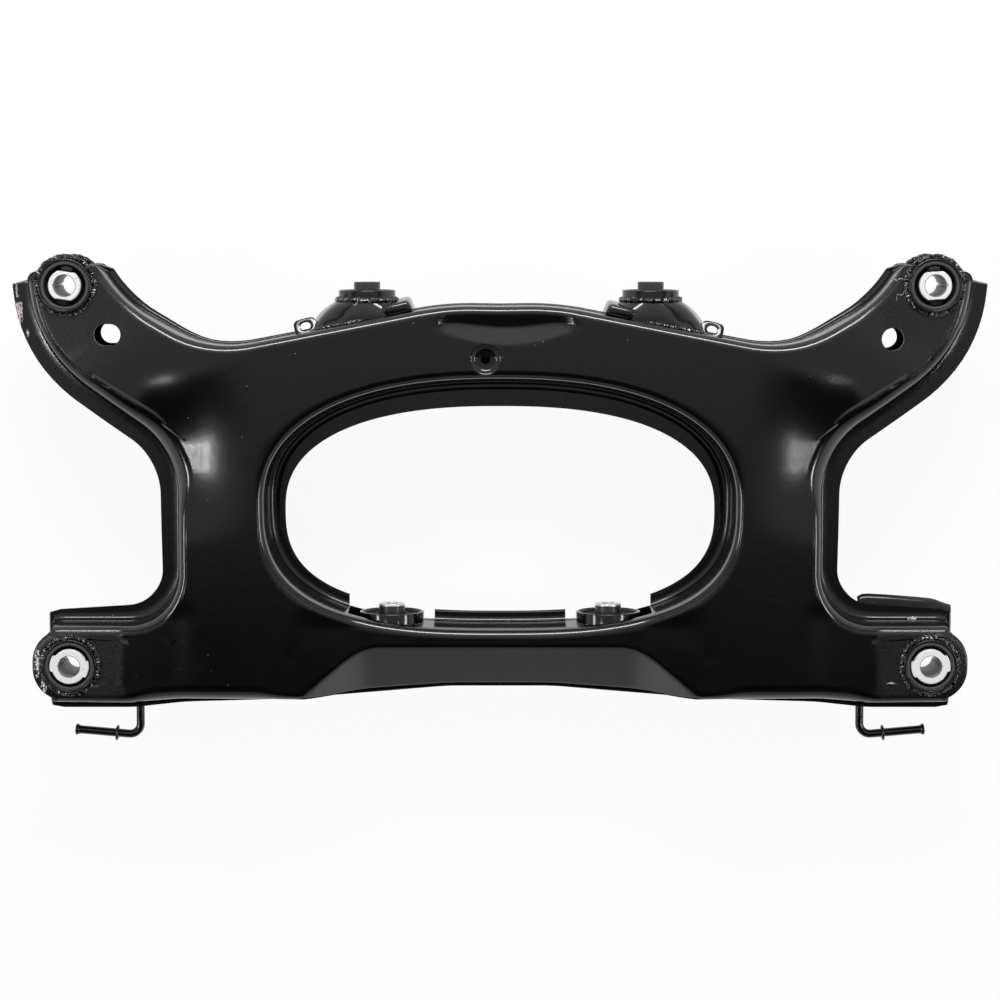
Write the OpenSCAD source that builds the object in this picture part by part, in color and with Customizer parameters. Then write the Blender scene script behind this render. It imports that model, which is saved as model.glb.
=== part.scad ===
// Rear subframe: two drawn sheet pressings welded along a flange, four body-mount bushes at the
// corners, four differential bushes through the crossmembers, link brackets below and two
// exhaust hangers. Millimetres, +Z up, +Y to the horn end, which is called the front.

/* [Body mounts] */
// Distance between the left and right body mounts
mount_dx = 970; // [930:2:1010]
// Distance between the front and rear body mounts
mount_dy = 428; // [410:2:446]
// Outer diameter of a body-mount housing
body_od = 60; // [56:1:64]
// Wall of a body-mount housing
body_wall = 2.5; // [2:0.25:3]
// Wall of the bush outer ring in the housing
body_ring_wall = 4; // [3:0.25:5]
// Rubber between the ring and the front bush core
front_rubber_w = 5.5; // [4.5:0.25:6.5]
// Depth of the two flats on the front bush core
front_flat_in = 2.5; // [1.5:0.25:3.5]
// Rubber between the ring and the rear bush core
rear_rubber_w = 4; // [3:0.25:5]
// Rubber between the ring and the side tabs of the rear bush core
rear_tab_gap = 1.5; // [1:0.25:2.5]
// Width of a side tab of the rear bush core
rear_tab_w = 19; // [15:0.5:22]
// Diameter of the bolt hole in the body-mount cores
body_bore = 24; // [21:0.5:26]
// How far a housing stands above its pad
body_proud = 8; // [5:0.5:11]
// How far a core stands above its housing
body_core_proud = 2; // [1:0.5:4]

/* [Pressings] */
// Sheet thickness of both pressings
sheet_t = 2.5; // [2:0.25:3]
// Height of the upper face above the parting plane
face_h = 64; // [58:1:70]
// Depth of the lower floor below the parting plane
floor_d = 46; // [42:1:52]
// Height of the corner pads above the parting plane
pad_h = 50; // [46:1:54]
// Depth of the corner pads below the parting plane
pad_d = 18; // [17:0.5:24]
// Length of the level pad inward of a rear body mount
arm_pad = 58; // [52:1:64]
// Length of the level pad inward of a front body mount
horn_pad = 72; // [66:1:78]
// Length of the slope from a pad up to the face
pad_slope = 120; // [105:5:135]
// Draft of the drawn walls, degrees
draft = 5; // [3:0.5:7]
// Radius between face and wall
face_r = 9; // [7:0.5:11]
// Radius between wall and flange
bend_r = 4.5; // [3.5:0.25:5.5]
// Half width of the legs' outer edge
waist = 359; // [350:1:368]
// Front edge of the face on the centre line
front_y = 185; // [180:1:190]
// Rear edge of the face on the centre line
rear_y = 234; // [229:1:239]
// Radius of the rounded lobe at an arm's end
lobe_r = 41.5; // [40:0.5:44]
// Weld flange along the legs and the horns' outer sides
flange_w = 22; // [18:1:26]
// Weld flange along the rear edge of the arms
rear_flange_w = 11; // [9:1:14]
// Weld flange along the rear edge of the crossmember
slope_flange_w = 5.5; // [5:0.5:8]
// Weld flange along the front edge
front_flange_w = 5.5; // [5:0.5:8]
// Slope of the rear crossmember's rear face, degrees
rake_a = 40; // [34:1:44]
// Width of that slope on the centre line
rear_slope_w = 42; // [38:1:46]
// Half length of that slope where it is at its widest
slope_half = 150; // [142:2:158]
// Depth of the rear crossmember's face below the legs
dip_d = 8; // [5:0.5:10]
// Depth to which the face rolls off at the legs' waist
roll_d = 8; // [5:0.5:10]
// Width of that roll
roll_w = 65; // [58:1:72]
// Depth of the recess in the front crossmember
recess_d = 6; // [3:0.5:8]
// Half length of that recess
recess_half = 84; // [78:1:90]

/* [Opening] */
// Half length of the oval where the face turns down
open_a = 266; // [258:1:274]
// Front half width of the oval
open_front = 142; // [136:1:146]
// Rear half width of the oval
open_rear = 143; // [138:1:146]
// Place of the oval's middle along Y, behind the body-mount centre
open_back = 31; // [28:1:34]
// Inward lip of the upper pressing
lip_w = 10; // [7:0.5:12]
// Half length of the clear opening in the lower pressing
clear_a = 244; // [238:1:248]
// Half width of the clear opening in the lower pressing
clear_b = 117; // [112:1:120]
// Place of the clear opening's middle along Y, behind the body-mount centre
clear_back = 41; // [38:1:44]

/* [Differential bushes] */
// Height of the bush axes above the parting plane
diff_z = 8; // [4:1:12]
// Distance between the two front bushes
diff_front_dx = 320; // [310:1:330]
// Sideways shift of the front pair from the centre line
diff_front_shift = 10; // [4:1:14]
// Place of the front bush rims along Y
diff_front_y = 208; // [204:1:213]
// Outer diameter of a front housing
diff_front_od = 64; // [60:1:67]
// Distance between the two rear bushes
diff_rear_dx = 246; // [238:1:254]
// Place of the rear bush rims, behind the body-mount centre
diff_rear_back = 157; // [154:1:160]
// Outer diameter of a rear housing
diff_rear_od = 73; // [69:1:76]
// Length of a front differential bush housing
diff_len = 62; // [56:1:66]
// Length of a rear differential bush housing
diff_rear_len = 38; // [34:1:40]
// Wall of a differential bush housing
diff_wall = 3; // [2.5:0.25:3.5]
// Wall of the bush outer ring in that housing
diff_ring_wall = 2.5; // [2:0.25:3.5]
// Diameter of the inner sleeve
diff_core_d = 29.5; // [27:0.5:31]
// Diameter of the bolt hole in the inner sleeve
diff_bore = 14.5; // [13:0.5:17]
// How far the inner sleeve stands out of the rim
diff_core_proud = 9; // [6:0.5:11]

/* [Saddle brackets] */
// Sheet thickness of a saddle
saddle_t = 3; // [2.5:0.25:3.5]
// Reach of a saddle from its bush axis to the outer end
saddle_out = 60; // [56:1:66]
// Reach of a saddle from its bush axis to the inner end
saddle_in = 44; // [42:1:48]
// Height of a saddle at the crossmember
saddle_h = 76; // [74:1:80]
// Distance from the bush rim back to the saddle's edge
saddle_back = 12; // [9:0.5:14]
// Diameter of the hole in a saddle's end ear
ear_hole = 8; // [6:0.5:9]
// Width of a saddle's neck round the bush housing
neck_w = 5; // [4:0.5:6]
// Length of that neck along the housing
neck_l = 6; // [5:0.5:8]

/* [Exhaust hangers] */
// Rod diameter
rod_d = 9.5; // [8:0.25:11]
// Distance between the two rods
rod_dx = 826; // [810:2:840]
// Depth of the rod axis below the parting plane
rod_down = 13; // [11:0.5:15]
// Place of the outer leg, behind the body-mount centre
rod_back = 302; // [296:1:310]
// Bend radius on the rod's axis
rod_bend = 12; // [10:0.5:16]
// Length of the outer leg from the rod's axis
rod_leg = 74; // [66:1:84]
// Rise of the outer leg, degrees
rod_rise = 5; // [3:0.5:8]
// Diameter of the collar
collar_d = 18; // [16:0.5:21]
// Diameter of the head
head_d = 13; // [12:0.5:15]

/* [Link brackets] */
// Distance of the brackets from the centre line
link_x = 256; // [248:1:264]
// Place of the front brackets along Y
link_front_y = 88; // [82:1:94]
// Place of the rear brackets, behind the body-mount centre
link_rear_back = 192; // [186:1:196]
// Clear width between the ears
link_gap = 52; // [46:1:56]
// Sheet thickness of a bracket
link_t = 4; // [3:0.5:5]
// Depth of the bolt axis below the floor
link_drop = 32; // [28:1:36]
// Radius of an ear around the bolt
link_r = 22; // [19:0.5:25]
// Diameter of the bolt hole
link_bore = 12.5; // [10.5:0.5:14.5]

/* [Small holes] */
// Diameter of the round jig hole in the right horn
jig_d = 25; // [22:0.5:28]
// Length of the jig slot in the left horn
slot_l = 30; // [27:0.5:33]
// Diameter of the hole in the front crossmember
vent_d = 10; // [8:0.5:13]

/* [Hidden] */
fx = mount_dx / 2;
fy = mount_dy / 2;
left = -1;
right = 1;
front = 1;
rear = -1;
over = 40;
seat_gap = 0.4;
rubber_skin = 1.5;
ear_w = 22;
ear_l = 18;
ear_z = 14;
foot_l = 4;
band_l = 1.2;
band_proud = 0.5;
bay_r = 105;
roll_y = fy - 238;
arm_from = 90;
arm_blend = 70;
dip_half = 235;
dip_blend = 85;
dip_from = 130;
dip_run = 40;
recess_x = 7;
recess_flat_y = front_y - 18;
recess_bow = 22;
walled = 1;
open_end = 0.1;

body_top = pad_h + body_proud;
body_low = -pad_d - 4;
body_in_r = body_od / 2 - body_wall;
body_ring_in_r = body_in_r - body_ring_wall;
front_core_d = 2 * (body_ring_in_r - front_rubber_w);
front_core_flats = front_core_d - 2 * front_flat_in;
rear_core_d = 2 * (body_ring_in_r - rear_rubber_w);
rear_core_tabs = 2 * (body_ring_in_r - rear_tab_gap);
body_core_top = body_top + body_core_proud;
body_core_low = body_low - 2;
rubber_top = body_top - 8;
rubber_low = body_low + 8;

// The face outline of the right half, walked from the front middle to the rear middle.
// Each corner: x, y, corner radius, wall share, rib control x and y, bearing on the opening, flange.
lobe_x = lobe_r * cos(65);
lobe_y = lobe_r * sin(65);
lobe_t = lobe_r * tan(65 / 2);
corners = [
    [0, front_y, 0, walled, 0, 150, 90, front_flange_w],
    [62, front_y + 1, 320, walled, 55, 152, 77, front_flange_w],
    [fx - 157, fy - 78, 140, walled, 285, 118, 46, front_flange_w],
    [fx - 61, fy - 20, 150, walled, 385, 105, 27, front_flange_w],
    [fx - 41, fy + 12, 0, walled, 424, 124, 25, front_flange_w],
    [fx - 33, fy + 24, 10, open_end, 430, 122, 23, front_flange_w],
    [fx + 41, fy + 7, 10, open_end, 441, 110, 17, flange_w],
    [fx + 39.2, fy - 7, 0, walled, 440, 105, 15, flange_w],
    [fx + 31, fy - 73, 144, walled, 400, 80, 12, flange_w + 1],
    [waist, fy - 183, bay_r, walled, 315, 8, 2, flange_w + 1],
    [waist, lobe_r + 1.5 - fy, 62, walled, 335, -182, -42, flange_w - 3],
    [fx + lobe_x - 9, lobe_r + 1.5 - fy, 0, walled, 385, -202, -53, flange_w - 12],
    [fx + lobe_x - 2.7, lobe_y + 1.3 - fy, 0, open_end, 388, -206, -54.5, flange_w - 12],
    [fx + lobe_r, lobe_t - fy, lobe_r * 0.97, open_end, 390, -211, -57, rear_flange_w],
    [fx + lobe_r, -lobe_t - fy, lobe_r * 0.97, open_end, 390, -214, -60, rear_flange_w],
    [fx + lobe_x - 2.7, -lobe_y - 1.3 - fy, 0, open_end, 388, -217, -62.5, rear_flange_w],
    [fx + lobe_x - 9, -lobe_r - fy, 0, walled, 385, -219, -64, rear_flange_w],
    [fx - 65, -lobe_r + 1 - fy, 150, walled, 370, -219, -67, rear_flange_w],
    [fx - 125, -rear_y - 12, 200, walled, 320, -215, -70.5, rear_flange_w],
    [205, -rear_y - 12, 300, walled, 190, -205, -76, slope_flange_w],
    [60, -rear_y, 300, walled, 55, -200, -84, slope_flange_w],
    [0, -rear_y, 0, walled, 0, -200, -90, slope_flange_w]
];
line_step = 42;
arc_step = 20;

function unit(v) = v / norm(v);
function turned(v, a) = [v.x * cos(a) - v.y * sin(a), v.x * sin(a) + v.y * cos(a)];
function to_left(v) = [-v.y, v.x];
function clamp(t) = max(0, min(1, t));
function smooth(t) = let(c = clamp(t)) c * c * (3 - 2 * c);
function flat(p) = [p[0], p[1]];

// Walk of the outline: headings, turns, tangent lengths and running length.
count = len(corners);
heads = [for (i = [0:count - 2]) unit(flat(corners[i + 1]) - flat(corners[i]))];
function head_in(i) = heads[max(0, i - 1)];
function head_out(i) = heads[min(count - 2, i)];
turns = [for (i = [0:count - 1]) let(u = head_in(i), w = head_out(i)) atan2(u.x * w.y - u.y * w.x, u * w)];
tangents = [for (i = [0:count - 1]) corners[i][2] * tan(abs(turns[i]) / 2)];
starts = [for (i = [0:count - 1]) flat(corners[i]) - head_in(i) * tangents[i]];
ends = [for (i = [0:count - 1]) flat(corners[i]) + head_out(i) * tangents[i]];
arcs = [for (i = [0:count - 1]) corners[i][2] * abs(turns[i]) * PI / 180];
gaps = [for (i = [0:count - 1]) i == count - 1 ? 0 : norm(starts[i + 1] - ends[i])];
runs = [for (i = 0, s = 0; i < count; s = s + arcs[i] + gaps[i], i = i + 1) s];
keys = [for (i = [0:count - 1]) runs[i] + arcs[i] / 2];

// A place on the walk: point, outward normal, running length.
function arc_places(i) = let(
    side = turns[i] > 0 ? 1 : -1,
    first = to_left(head_in(i)),
    middle = starts[i] + first * corners[i][2] * side,
    steps = ceil(abs(turns[i]) / arc_step)
) [for (j = [0:steps]) let(n = turned(first, turns[i] * j / steps))
    [middle - n * corners[i][2] * side, n, runs[i] + arcs[i] * j / steps]];
function corner_places(i) = corners[i][2] > 0 ? arc_places(i)
    : [[flat(corners[i]), unit(to_left(head_in(i)) + to_left(head_out(i))), runs[i]]];
function line_places(i) = i == count - 1 ? [] : let(steps = ceil(gaps[i] / line_step))
    [for (j = [1:1:steps - 1]) [ends[i] + (starts[i + 1] - ends[i]) * j / steps, to_left(heads[i]),
        runs[i] + arcs[i] + gaps[i] * j / steps]];
walk = [for (i = [0:count - 1]) each concat(corner_places(i), line_places(i))];

function along(s, field) = lookup(s, [for (i = [0:count - 1]) [keys[i], corners[i][field]]]);
// A station: point, normal, wall share, rib control, bearing, flange, side of the centre line.
half = [for (w = walk) [w[0], w[1], along(w[2], 3), [along(w[2], 4), along(w[2], 5)], along(w[2], 6), along(w[2], 7)]];
last = len(half) - 1;
function mirrored(v) = [-v.x, v.y];
ring = concat(
    [for (h = half) [h[0], h[1], h[2], h[3], h[4], h[5], right]],
    [for (i = [last - 1:-1:1]) let(h = half[i]) [mirrored(h[0]), mirrored(h[1]), h[2], mirrored(h[3]), h[4], h[5], left]]
);
size = len(ring);

// Points of the opening at a bearing, drawn in by an inset.
function power(v, n) = sign(v) * pow(abs(v), 2 / n);
function oval(a, inset) = [(open_a - inset) * power(cos(a), a >= 0 ? 2.35 : 2.8),
    (a >= 0 ? open_front - inset : open_rear - inset) * power(sin(a), a >= 0 ? 2.35 : 2.8) - open_back];
function clear_oval(a) = [clear_a * power(cos(a), a >= 0 ? 2.4 : 2.7),
    clear_b * power(sin(a), a >= 0 ? 2.4 : 2.7) - clear_back];
function sided(v, side) = side == right ? v : mirrored(v);

// Height of the upper face and depth of the lower floor at a place.
function horn_run(p) = (fx - abs(p.x)) * 0.62 + (fy - p.y) * 0.78 - horn_pad;
function arm_run(p) = fx - arm_pad - abs(p.x) + pad_slope * smooth((p.y + arm_from + arm_blend) / arm_blend);
function pad_share(p) = 1 - clamp((p.y > 0 ? horn_run(p) : arm_run(p)) / pad_slope);
function slope_in(p) = -p.y - (rear_y - rear_slope_w) - max(0, abs(p.x) - slope_half) * 0.82;
function rake(p) = max(0, slope_in(p)) * tan(rake_a);
function rear_dip(p) = dip_d * smooth((dip_half - abs(p.x)) / dip_blend) * smooth((-p.y - dip_from) / dip_run);
function recess_arc(p) = recess_flat_y - recess_bow * (1 - pow(clamp(abs(p.x - recess_x) / recess_half), 2));
function recess(p) = recess_d * smooth((recess_half - abs(p.x - recess_x)) / 12)
    * clamp((p.y - recess_arc(p)) / max(2, recess_flat_y - recess_arc(p)));
function roll_gap(p) = norm([abs(p.x) - waist - bay_r, p.y - roll_y]) - bay_r;
function roll(p) = roll_d * pow(1 - clamp(roll_gap(p) / roll_w), 2)
    * smooth((p.y - roll_y + 40) / 50) * smooth((roll_y + 150 - p.y) / 60);
function upper_z(p) = face_h - (face_h - pad_h) * pad_share(p) - rake(p) - recess(p) - rear_dip(p) - roll(p);
function lower_z(p) = floor_d - (floor_d - pad_d) * pad_share(p);
function height(p, lower) = lower ? lower_z(p) : upper_z(p);

// Section of a drawn edge from the flange to the face: out from the edge, height, lean of the normal.
fillet_run = face_r * tan((90 - draft) / 2);
function bend_of(flange) = min(bend_r, flange * 0.8);
function section(h, flange) = let(
    foot = (h - sheet_t) * tan(draft),
    b = bend_of(flange),
    b_run = b * tan((90 - draft) / 2)
) concat(
    [[foot + flange, sheet_t, 90]],
    [for (a = [90, draft]) [foot + b_run - b * cos(a), sheet_t + b - b * sin(a), a]],
    [for (a = [draft, (90 + draft) / 2, 90]) [face_r * cos(a) - fillet_run, h - face_r + face_r * sin(a), a]]
);
function edge_point(st, lower) = let(h = height(st[0] - st[1] * fillet_run, lower))
    [for (q = section(h, st[5])) let(
        share = st[2],
        out = q[0] > 0 ? q[0] * share : q[0],
        lean = 90 - (90 - q[2]) * clamp((share - 0.2) / 0.3),
        z = h - (h - q[1]) * share
    ) [concat(st[0] + st[1] * out, z), concat(st[0] + st[1] * (out - sheet_t * cos(lean)), z - sheet_t * sin(lean))]];
function lip_point(st, lower) = let(
    h = height(sided(oval(st[4], -fillet_run), st[6]), lower),
    s = section(h, lip_w)
) [for (k = [len(s) - 1:-1:0]) let(q = s[k], edge = lower && k == 0)
    [concat(sided(edge ? clear_oval(st[4]) : oval(st[4], q[0]), st[6]), q[1]),
     concat(sided(edge ? clear_oval(st[4]) : oval(st[4], q[0] - sheet_t * cos(q[2])), st[6]), q[1] - sheet_t * sin(q[2]))]];
function face_point(st, lower, shares) = let(
    a = st[0] - st[1] * fillet_run,
    b = sided(oval(st[4], -fillet_run), st[6])
) [for (v = shares) let(p = a * (1 - v) * (1 - v) + st[3] * 2 * v * (1 - v) + b * v * v, z = height(p, lower))
    [concat(p, z), concat(p, z - sheet_t)]];
function column(st, lower) = concat(edge_point(st, lower),
    face_point(st, lower, lower ? [0.12, 0.34, 0.7] : [0.06, 0.15, 0.3, 0.52, 0.78]), lip_point(st, lower));

// One drawn sheet with its crown up: rings of points on both sides, joined at the flange and the lip.
module pressing(lower) {
    columns = [for (st = ring) column(st, lower)];
    rows = len(columns[0]);
    points = [for (skin = [0, 1]) for (k = [0:rows - 1]) for (i = [0:size - 1]) columns[i][k][skin]];
    function at(skin, k, i) = (skin * rows + k) * size + i % size;
    function quad(a, b, c, d) = [[a, b, c], [a, c, d]];
    polyhedron(points, [
        for (i = [0:size - 1]) each concat(
            [for (k = [0:rows - 2]) each concat(
                quad(at(0, k, i), at(0, k, i + 1), at(0, k + 1, i + 1), at(0, k + 1, i)),
                quad(at(1, k, i), at(1, k + 1, i), at(1, k + 1, i + 1), at(1, k, i + 1)))],
            quad(at(0, 0, i + 1), at(0, 0, i), at(1, 0, i), at(1, 0, i + 1)),
            quad(at(0, rows - 1, i), at(0, rows - 1, i + 1), at(1, rows - 1, i + 1), at(1, rows - 1, i)))
    ], convexity = 10);
}

// Places of the fitted parts.
function diff_x(end, side) = end == front ? diff_front_shift + side * diff_front_dx / 2 : side * diff_rear_dx / 2;
function diff_y(end) = end == front ? diff_front_y : -diff_rear_back;
function diff_length(end) = end == front ? diff_len : diff_rear_len;
function diff_od(end) = end == front ? diff_front_od : diff_rear_od;
module at_body(end, side) translate([side * fx, end * fy, 0]) children();
module at_diff(end, side) translate([diff_x(end, side), diff_y(end), diff_z]) rotate([-90, 0, 0]) children();
module at_rod(side) translate([side * rod_dx / 2, -rod_back, -rod_down]) rotate([90, 0, 0]) children();
module at_link(end, side) translate([side * link_x, end == front ? link_front_y : -link_rear_back, -floor_d]) children();
module tube(r_out, r_in, z0, z1) translate([0, 0, z0]) difference() {
    cylinder(r = r_out, h = z1 - z0, $fn = 96);
    translate([0, 0, -1]) cylinder(r = r_in, h = z1 - z0 + 2, $fn = 96);
}

// What both pressings are pierced by.
module body_holes() for (end = [front, rear], side = [left, right]) at_body(end, side)
    translate([0, 0, -2 * over]) cylinder(d = body_od, h = 5 * over, $fn = 96);
module diff_holes() for (end = [front, rear], side = [left, right]) at_diff(end, side)
    translate([0, 0, -diff_length(end)]) cylinder(d = diff_od(end), h = diff_length(end) + over, $fn = 96);
module jig_holes() {
    translate([fx - 46, fy - 60, -2 * over]) cylinder(d = jig_d, h = 5 * over, $fn = 64);
    translate([-fx + 46, fy - 55, -2 * over]) {
        translate([-3, 0, 0]) cylinder(d = slot_l - 6, h = 5 * over, $fn = 64);
        translate([3, 0, 0]) cylinder(d = slot_l - 6, h = 5 * over, $fn = 64);
    }
}
module lip_notches() for (side = [left, right]) translate([diff_x(rear, side), -diff_rear_back, 0])
    translate([-diff_rear_od / 2 - 12, -10, -over]) cube([diff_rear_od + 24, 2 * over, 2 * over]);

module upper_shell() color([0.05, 0.05, 0.055]) difference() {
    pressing(false);
    body_holes();
    diff_holes();
    jig_holes();
    lip_notches();
    translate([-16, front_y - 53, 0]) cylinder(d = vent_d, h = 2 * over, $fn = 48);
}
module lower_shell() color([0.07, 0.07, 0.075]) difference() {
    mirror([0, 0, 1]) pressing(true);
    body_holes();
    diff_holes();
    jig_holes();
    lip_notches();
    for (side = [left, right]) at_rod(side) translate([0, 0, -90]) cylinder(d = rod_d, h = 90, $fn = 48);
}

// Body-mount bushes.
module front_core_form() intersection() {
    circle(d = front_core_d, $fn = 96);
    square([front_core_d + 2, front_core_flats], center = true);
}
module rear_core_form() union() {
    circle(d = rear_core_d, $fn = 96);
    intersection() {
        circle(d = rear_core_tabs, $fn = 96);
        square([rear_core_tabs + 2, rear_tab_w], center = true);
    }
}
module core_form(end) if (end == front) front_core_form(); else rear_core_form();
module body_housing(end, side) color([0.06, 0.06, 0.06]) at_body(end, side) tube(body_od / 2, body_in_r, body_low, body_top);
module body_ring(end, side) color([0.3, 0.3, 0.31]) at_body(end, side)
    tube(body_in_r, body_ring_in_r, body_low + 1, body_top - 1);
module rubber_void(s) difference() {
    intersection() {
        circle(r = body_ring_in_r - rubber_skin, $fn = 96);
        translate([0, s * body_ring_in_r]) square([front_core_d * 0.75, 2 * body_ring_in_r - front_core_flats - 2 * rubber_skin], center = true);
    }
}
module body_rubber(end, side) color([0.03, 0.03, 0.03]) at_body(end, side) translate([0, 0, rubber_low])
    linear_extrude(height = rubber_top - rubber_low) difference() {
        circle(r = body_ring_in_r, $fn = 96);
        core_form(end);
        // The front bushes have a void ahead of and behind the core
        if (end == front) rubber_void(1);
        if (end == front) rubber_void(-1);
    }
module body_core(end, side) color([0.75, 0.76, 0.77]) at_body(end, side) translate([0, 0, body_core_low])
    linear_extrude(height = body_core_top - body_core_low) difference() {
        core_form(end);
        circle(d = body_bore, $fn = 96);
    }

// Differential bushes, rim at zero, inner end below.
module diff_housing(end, side) color([0.06, 0.06, 0.06]) at_diff(end, side)
    tube(diff_od(end) / 2, diff_od(end) / 2 - diff_wall, -diff_length(end), 0);
module diff_ring(end, side) color([0.2, 0.2, 0.21]) at_diff(end, side)
    tube(diff_od(end) / 2 - diff_wall, diff_od(end) / 2 - diff_wall - diff_ring_wall, 2 - diff_length(end), -1);
module diff_rubber(end, side) color([0.03, 0.03, 0.03]) at_diff(end, side)
    tube(diff_od(end) / 2 - diff_wall - diff_ring_wall, diff_core_d / 2, 6 - diff_length(end), -4);
module diff_core(end, side) color([0.5, 0.5, 0.51]) at_diff(end, side)
    tube(diff_core_d / 2, diff_bore / 2, -diff_length(end) - 2, diff_core_proud);

// Saddle that carries a front differential housing, on the slanting front edge.
front_head = heads[1];
front_lean = atan2(front_head.y, front_head.x);
edge_out = (face_h - sheet_t) * tan(draft) + front_flange_w + seat_gap;
module saddle_frame(side) {
    x = diff_x(front, side);
    on_edge = flat(corners[1]) + front_head * ((abs(x) - corners[1][0]) / front_head.x) + to_left(front_head) * edge_out;
    translate([x, on_edge.y, diff_z]) rotate([0, 0, side * front_lean]) children();
}
module saddle_body(side, grow) hull() {
    at_diff(front, side) translate([0, 0, -saddle_back - neck_l])
        cylinder(d = diff_front_od + 2 * neck_w + 2 * grow, h = neck_l + grow, $fn = 48);
    saddle_frame(side) translate([(side == right ? -saddle_in : -saddle_out) - grow, grow < 0 ? -foot_l / 2 : 0, -saddle_h / 2 - grow])
        cube([saddle_in + saddle_out + 2 * grow, foot_l, saddle_h + 2 * grow]);
}
// A tab folded out level at the outer end, with an upright hole
module saddle_ear(side) saddle_frame(side) translate([side * (saddle_out - saddle_t / 2), saddle_t / 4, ear_z]) mirror([side == left ? 1 : 0, 0, 0])
    difference() {
        cube([ear_w, ear_l, saddle_t]);
        translate([ear_w / 2 + 1, ear_l / 2, -1]) cylinder(d = ear_hole, h = saddle_t + 2, $fn = 48);
    }
module saddle(side) color([0.08, 0.08, 0.085]) {
    difference() {
        saddle_body(side, 0);
        saddle_body(side, -saddle_t);
        at_diff(front, side) translate([0, 0, -2 * over]) cylinder(d = diff_front_od, h = 3 * over, $fn = 96);
    }
    saddle_ear(side);
}

// Exhaust hanger: out of the rear wall, round the bend, along the outer leg.
module hanger(side) color([0.06, 0.06, 0.06]) {
    at_rod(side) translate([0, 0, -rod_back + rear_y + 8]) cylinder(d = rod_d, h = rod_back - rear_y - 8 - rod_bend, $fn = 48);
    mirror([side == left ? 1 : 0, 0, 0]) translate([rod_dx / 2 + rod_bend, -rod_back + rod_bend, -rod_down]) {
        rotate([0, 0, 180]) rotate_extrude(angle = 90 + rod_rise, $fn = 64) translate([rod_bend, 0]) circle(d = rod_d, $fn = 48);
        rotate([0, 0, rod_rise]) translate([0, -rod_bend, 0]) rotate([0, 90, 0]) {
            cylinder(d = rod_d, h = rod_leg - rod_bend, $fn = 48);
            translate([0, 0, -band_l / 2]) cylinder(d = rod_d + band_proud, h = band_l, $fn = 48);
            translate([0, 0, 12]) cylinder(d = collar_d, h = 4, $fn = 48);
            translate([0, 0, rod_leg - rod_bend - 5]) cylinder(d = head_d, h = 5, $fn = 48);
        }
    }
}

// Link bracket: a plate on the floor and two ears with a bolt hole along Y.
module link_ear() difference() {
    union() {
        translate([0, -link_drop]) circle(r = link_r, $fn = 64);
        translate([-link_r, -link_drop]) square([2 * link_r, link_drop]);
    }
    translate([0, -link_drop]) circle(d = link_bore, $fn = 64);
}
module link_bracket(end, side) color([0.06, 0.06, 0.06]) at_link(end, side) {
    translate([-link_r, -link_gap / 2 - link_t, -link_t]) cube([2 * link_r, link_gap + 2 * link_t, link_t]);
    for (s = [-1, 1]) translate([0, s * (link_gap + link_t) / 2 + link_t / 2, 0]) rotate([90, 0, 0])
        linear_extrude(height = link_t) link_ear();
}
module link_nuts() color([0.2, 0.2, 0.2]) for (end = [front, rear], side = [left, right]) at_link(end, side)
    translate([0, -link_gap / 2 - link_t, -link_drop]) rotate([90, 0, 0]) difference() {
        cylinder(d = link_bore * 1.75, h = link_bore * 0.85, $fn = 6);
        translate([0, 0, -1]) cylinder(d = link_bore, h = link_bore * 0.85 + 2, $fn = 48);
    }

upper_shell();
lower_shell();
body_housing(front, left);  // body_housing_front_left
body_housing(front, right);  // body_housing_front_right
body_housing(rear, left);  // body_housing_rear_left
body_housing(rear, right);  // body_housing_rear_right
body_ring(front, left);  // body_ring_front_left
body_ring(front, right);  // body_ring_front_right
body_ring(rear, left);  // body_ring_rear_left
body_ring(rear, right);  // body_ring_rear_right
body_rubber(front, left);  // body_rubber_front_left
body_rubber(front, right);  // body_rubber_front_right
body_rubber(rear, left);  // body_rubber_rear_left
body_rubber(rear, right);  // body_rubber_rear_right
body_core(front, left);  // body_core_front_left
body_core(front, right);  // body_core_front_right
body_core(rear, left);  // body_core_rear_left
body_core(rear, right);  // body_core_rear_right
diff_housing(front, left);  // diff_housing_front_left
diff_housing(front, right);  // diff_housing_front_right
diff_housing(rear, left);  // diff_housing_rear_left
diff_housing(rear, right);  // diff_housing_rear_right
diff_ring(front, left);  // diff_ring_front_left
diff_ring(front, right);  // diff_ring_front_right
diff_ring(rear, left);  // diff_ring_rear_left
diff_ring(rear, right);  // diff_ring_rear_right
diff_rubber(front, left);  // diff_rubber_front_left
diff_rubber(front, right);  // diff_rubber_front_right
diff_rubber(rear, left);  // diff_rubber_rear_left
diff_rubber(rear, right);  // diff_rubber_rear_right
diff_core(front, left);  // diff_core_front_left
diff_core(front, right);  // diff_core_front_right
diff_core(rear, left);  // diff_core_rear_left
diff_core(rear, right);  // diff_core_rear_right
saddle(left);  // saddle_left
saddle(right);  // saddle_right
hanger(left);  // hanger_left
hanger(right);  // hanger_right
link_bracket(front, left);  // link_bracket_front_left
link_bracket(front, right);  // link_bracket_front_right
link_bracket(rear, left);  // link_bracket_rear_left
link_bracket(rear, right);  // link_bracket_rear_right
link_nuts();
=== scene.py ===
# %% [markdown]
# # A welded rear subframe
# This crossmember carries a differential and the rear links under a vehicle. It is two drawn
# steel sheets, welded together along a flange and painted gloss black, with four rubber bushes
# at its corners and four more in its crossmembers.
# The CAD model is loaded first as a fixed frame, and every piece below is made in its metres.

# %% Load the frame
import math

import bmesh
import bpy
from mathutils import Matrix, Vector, noise


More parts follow.
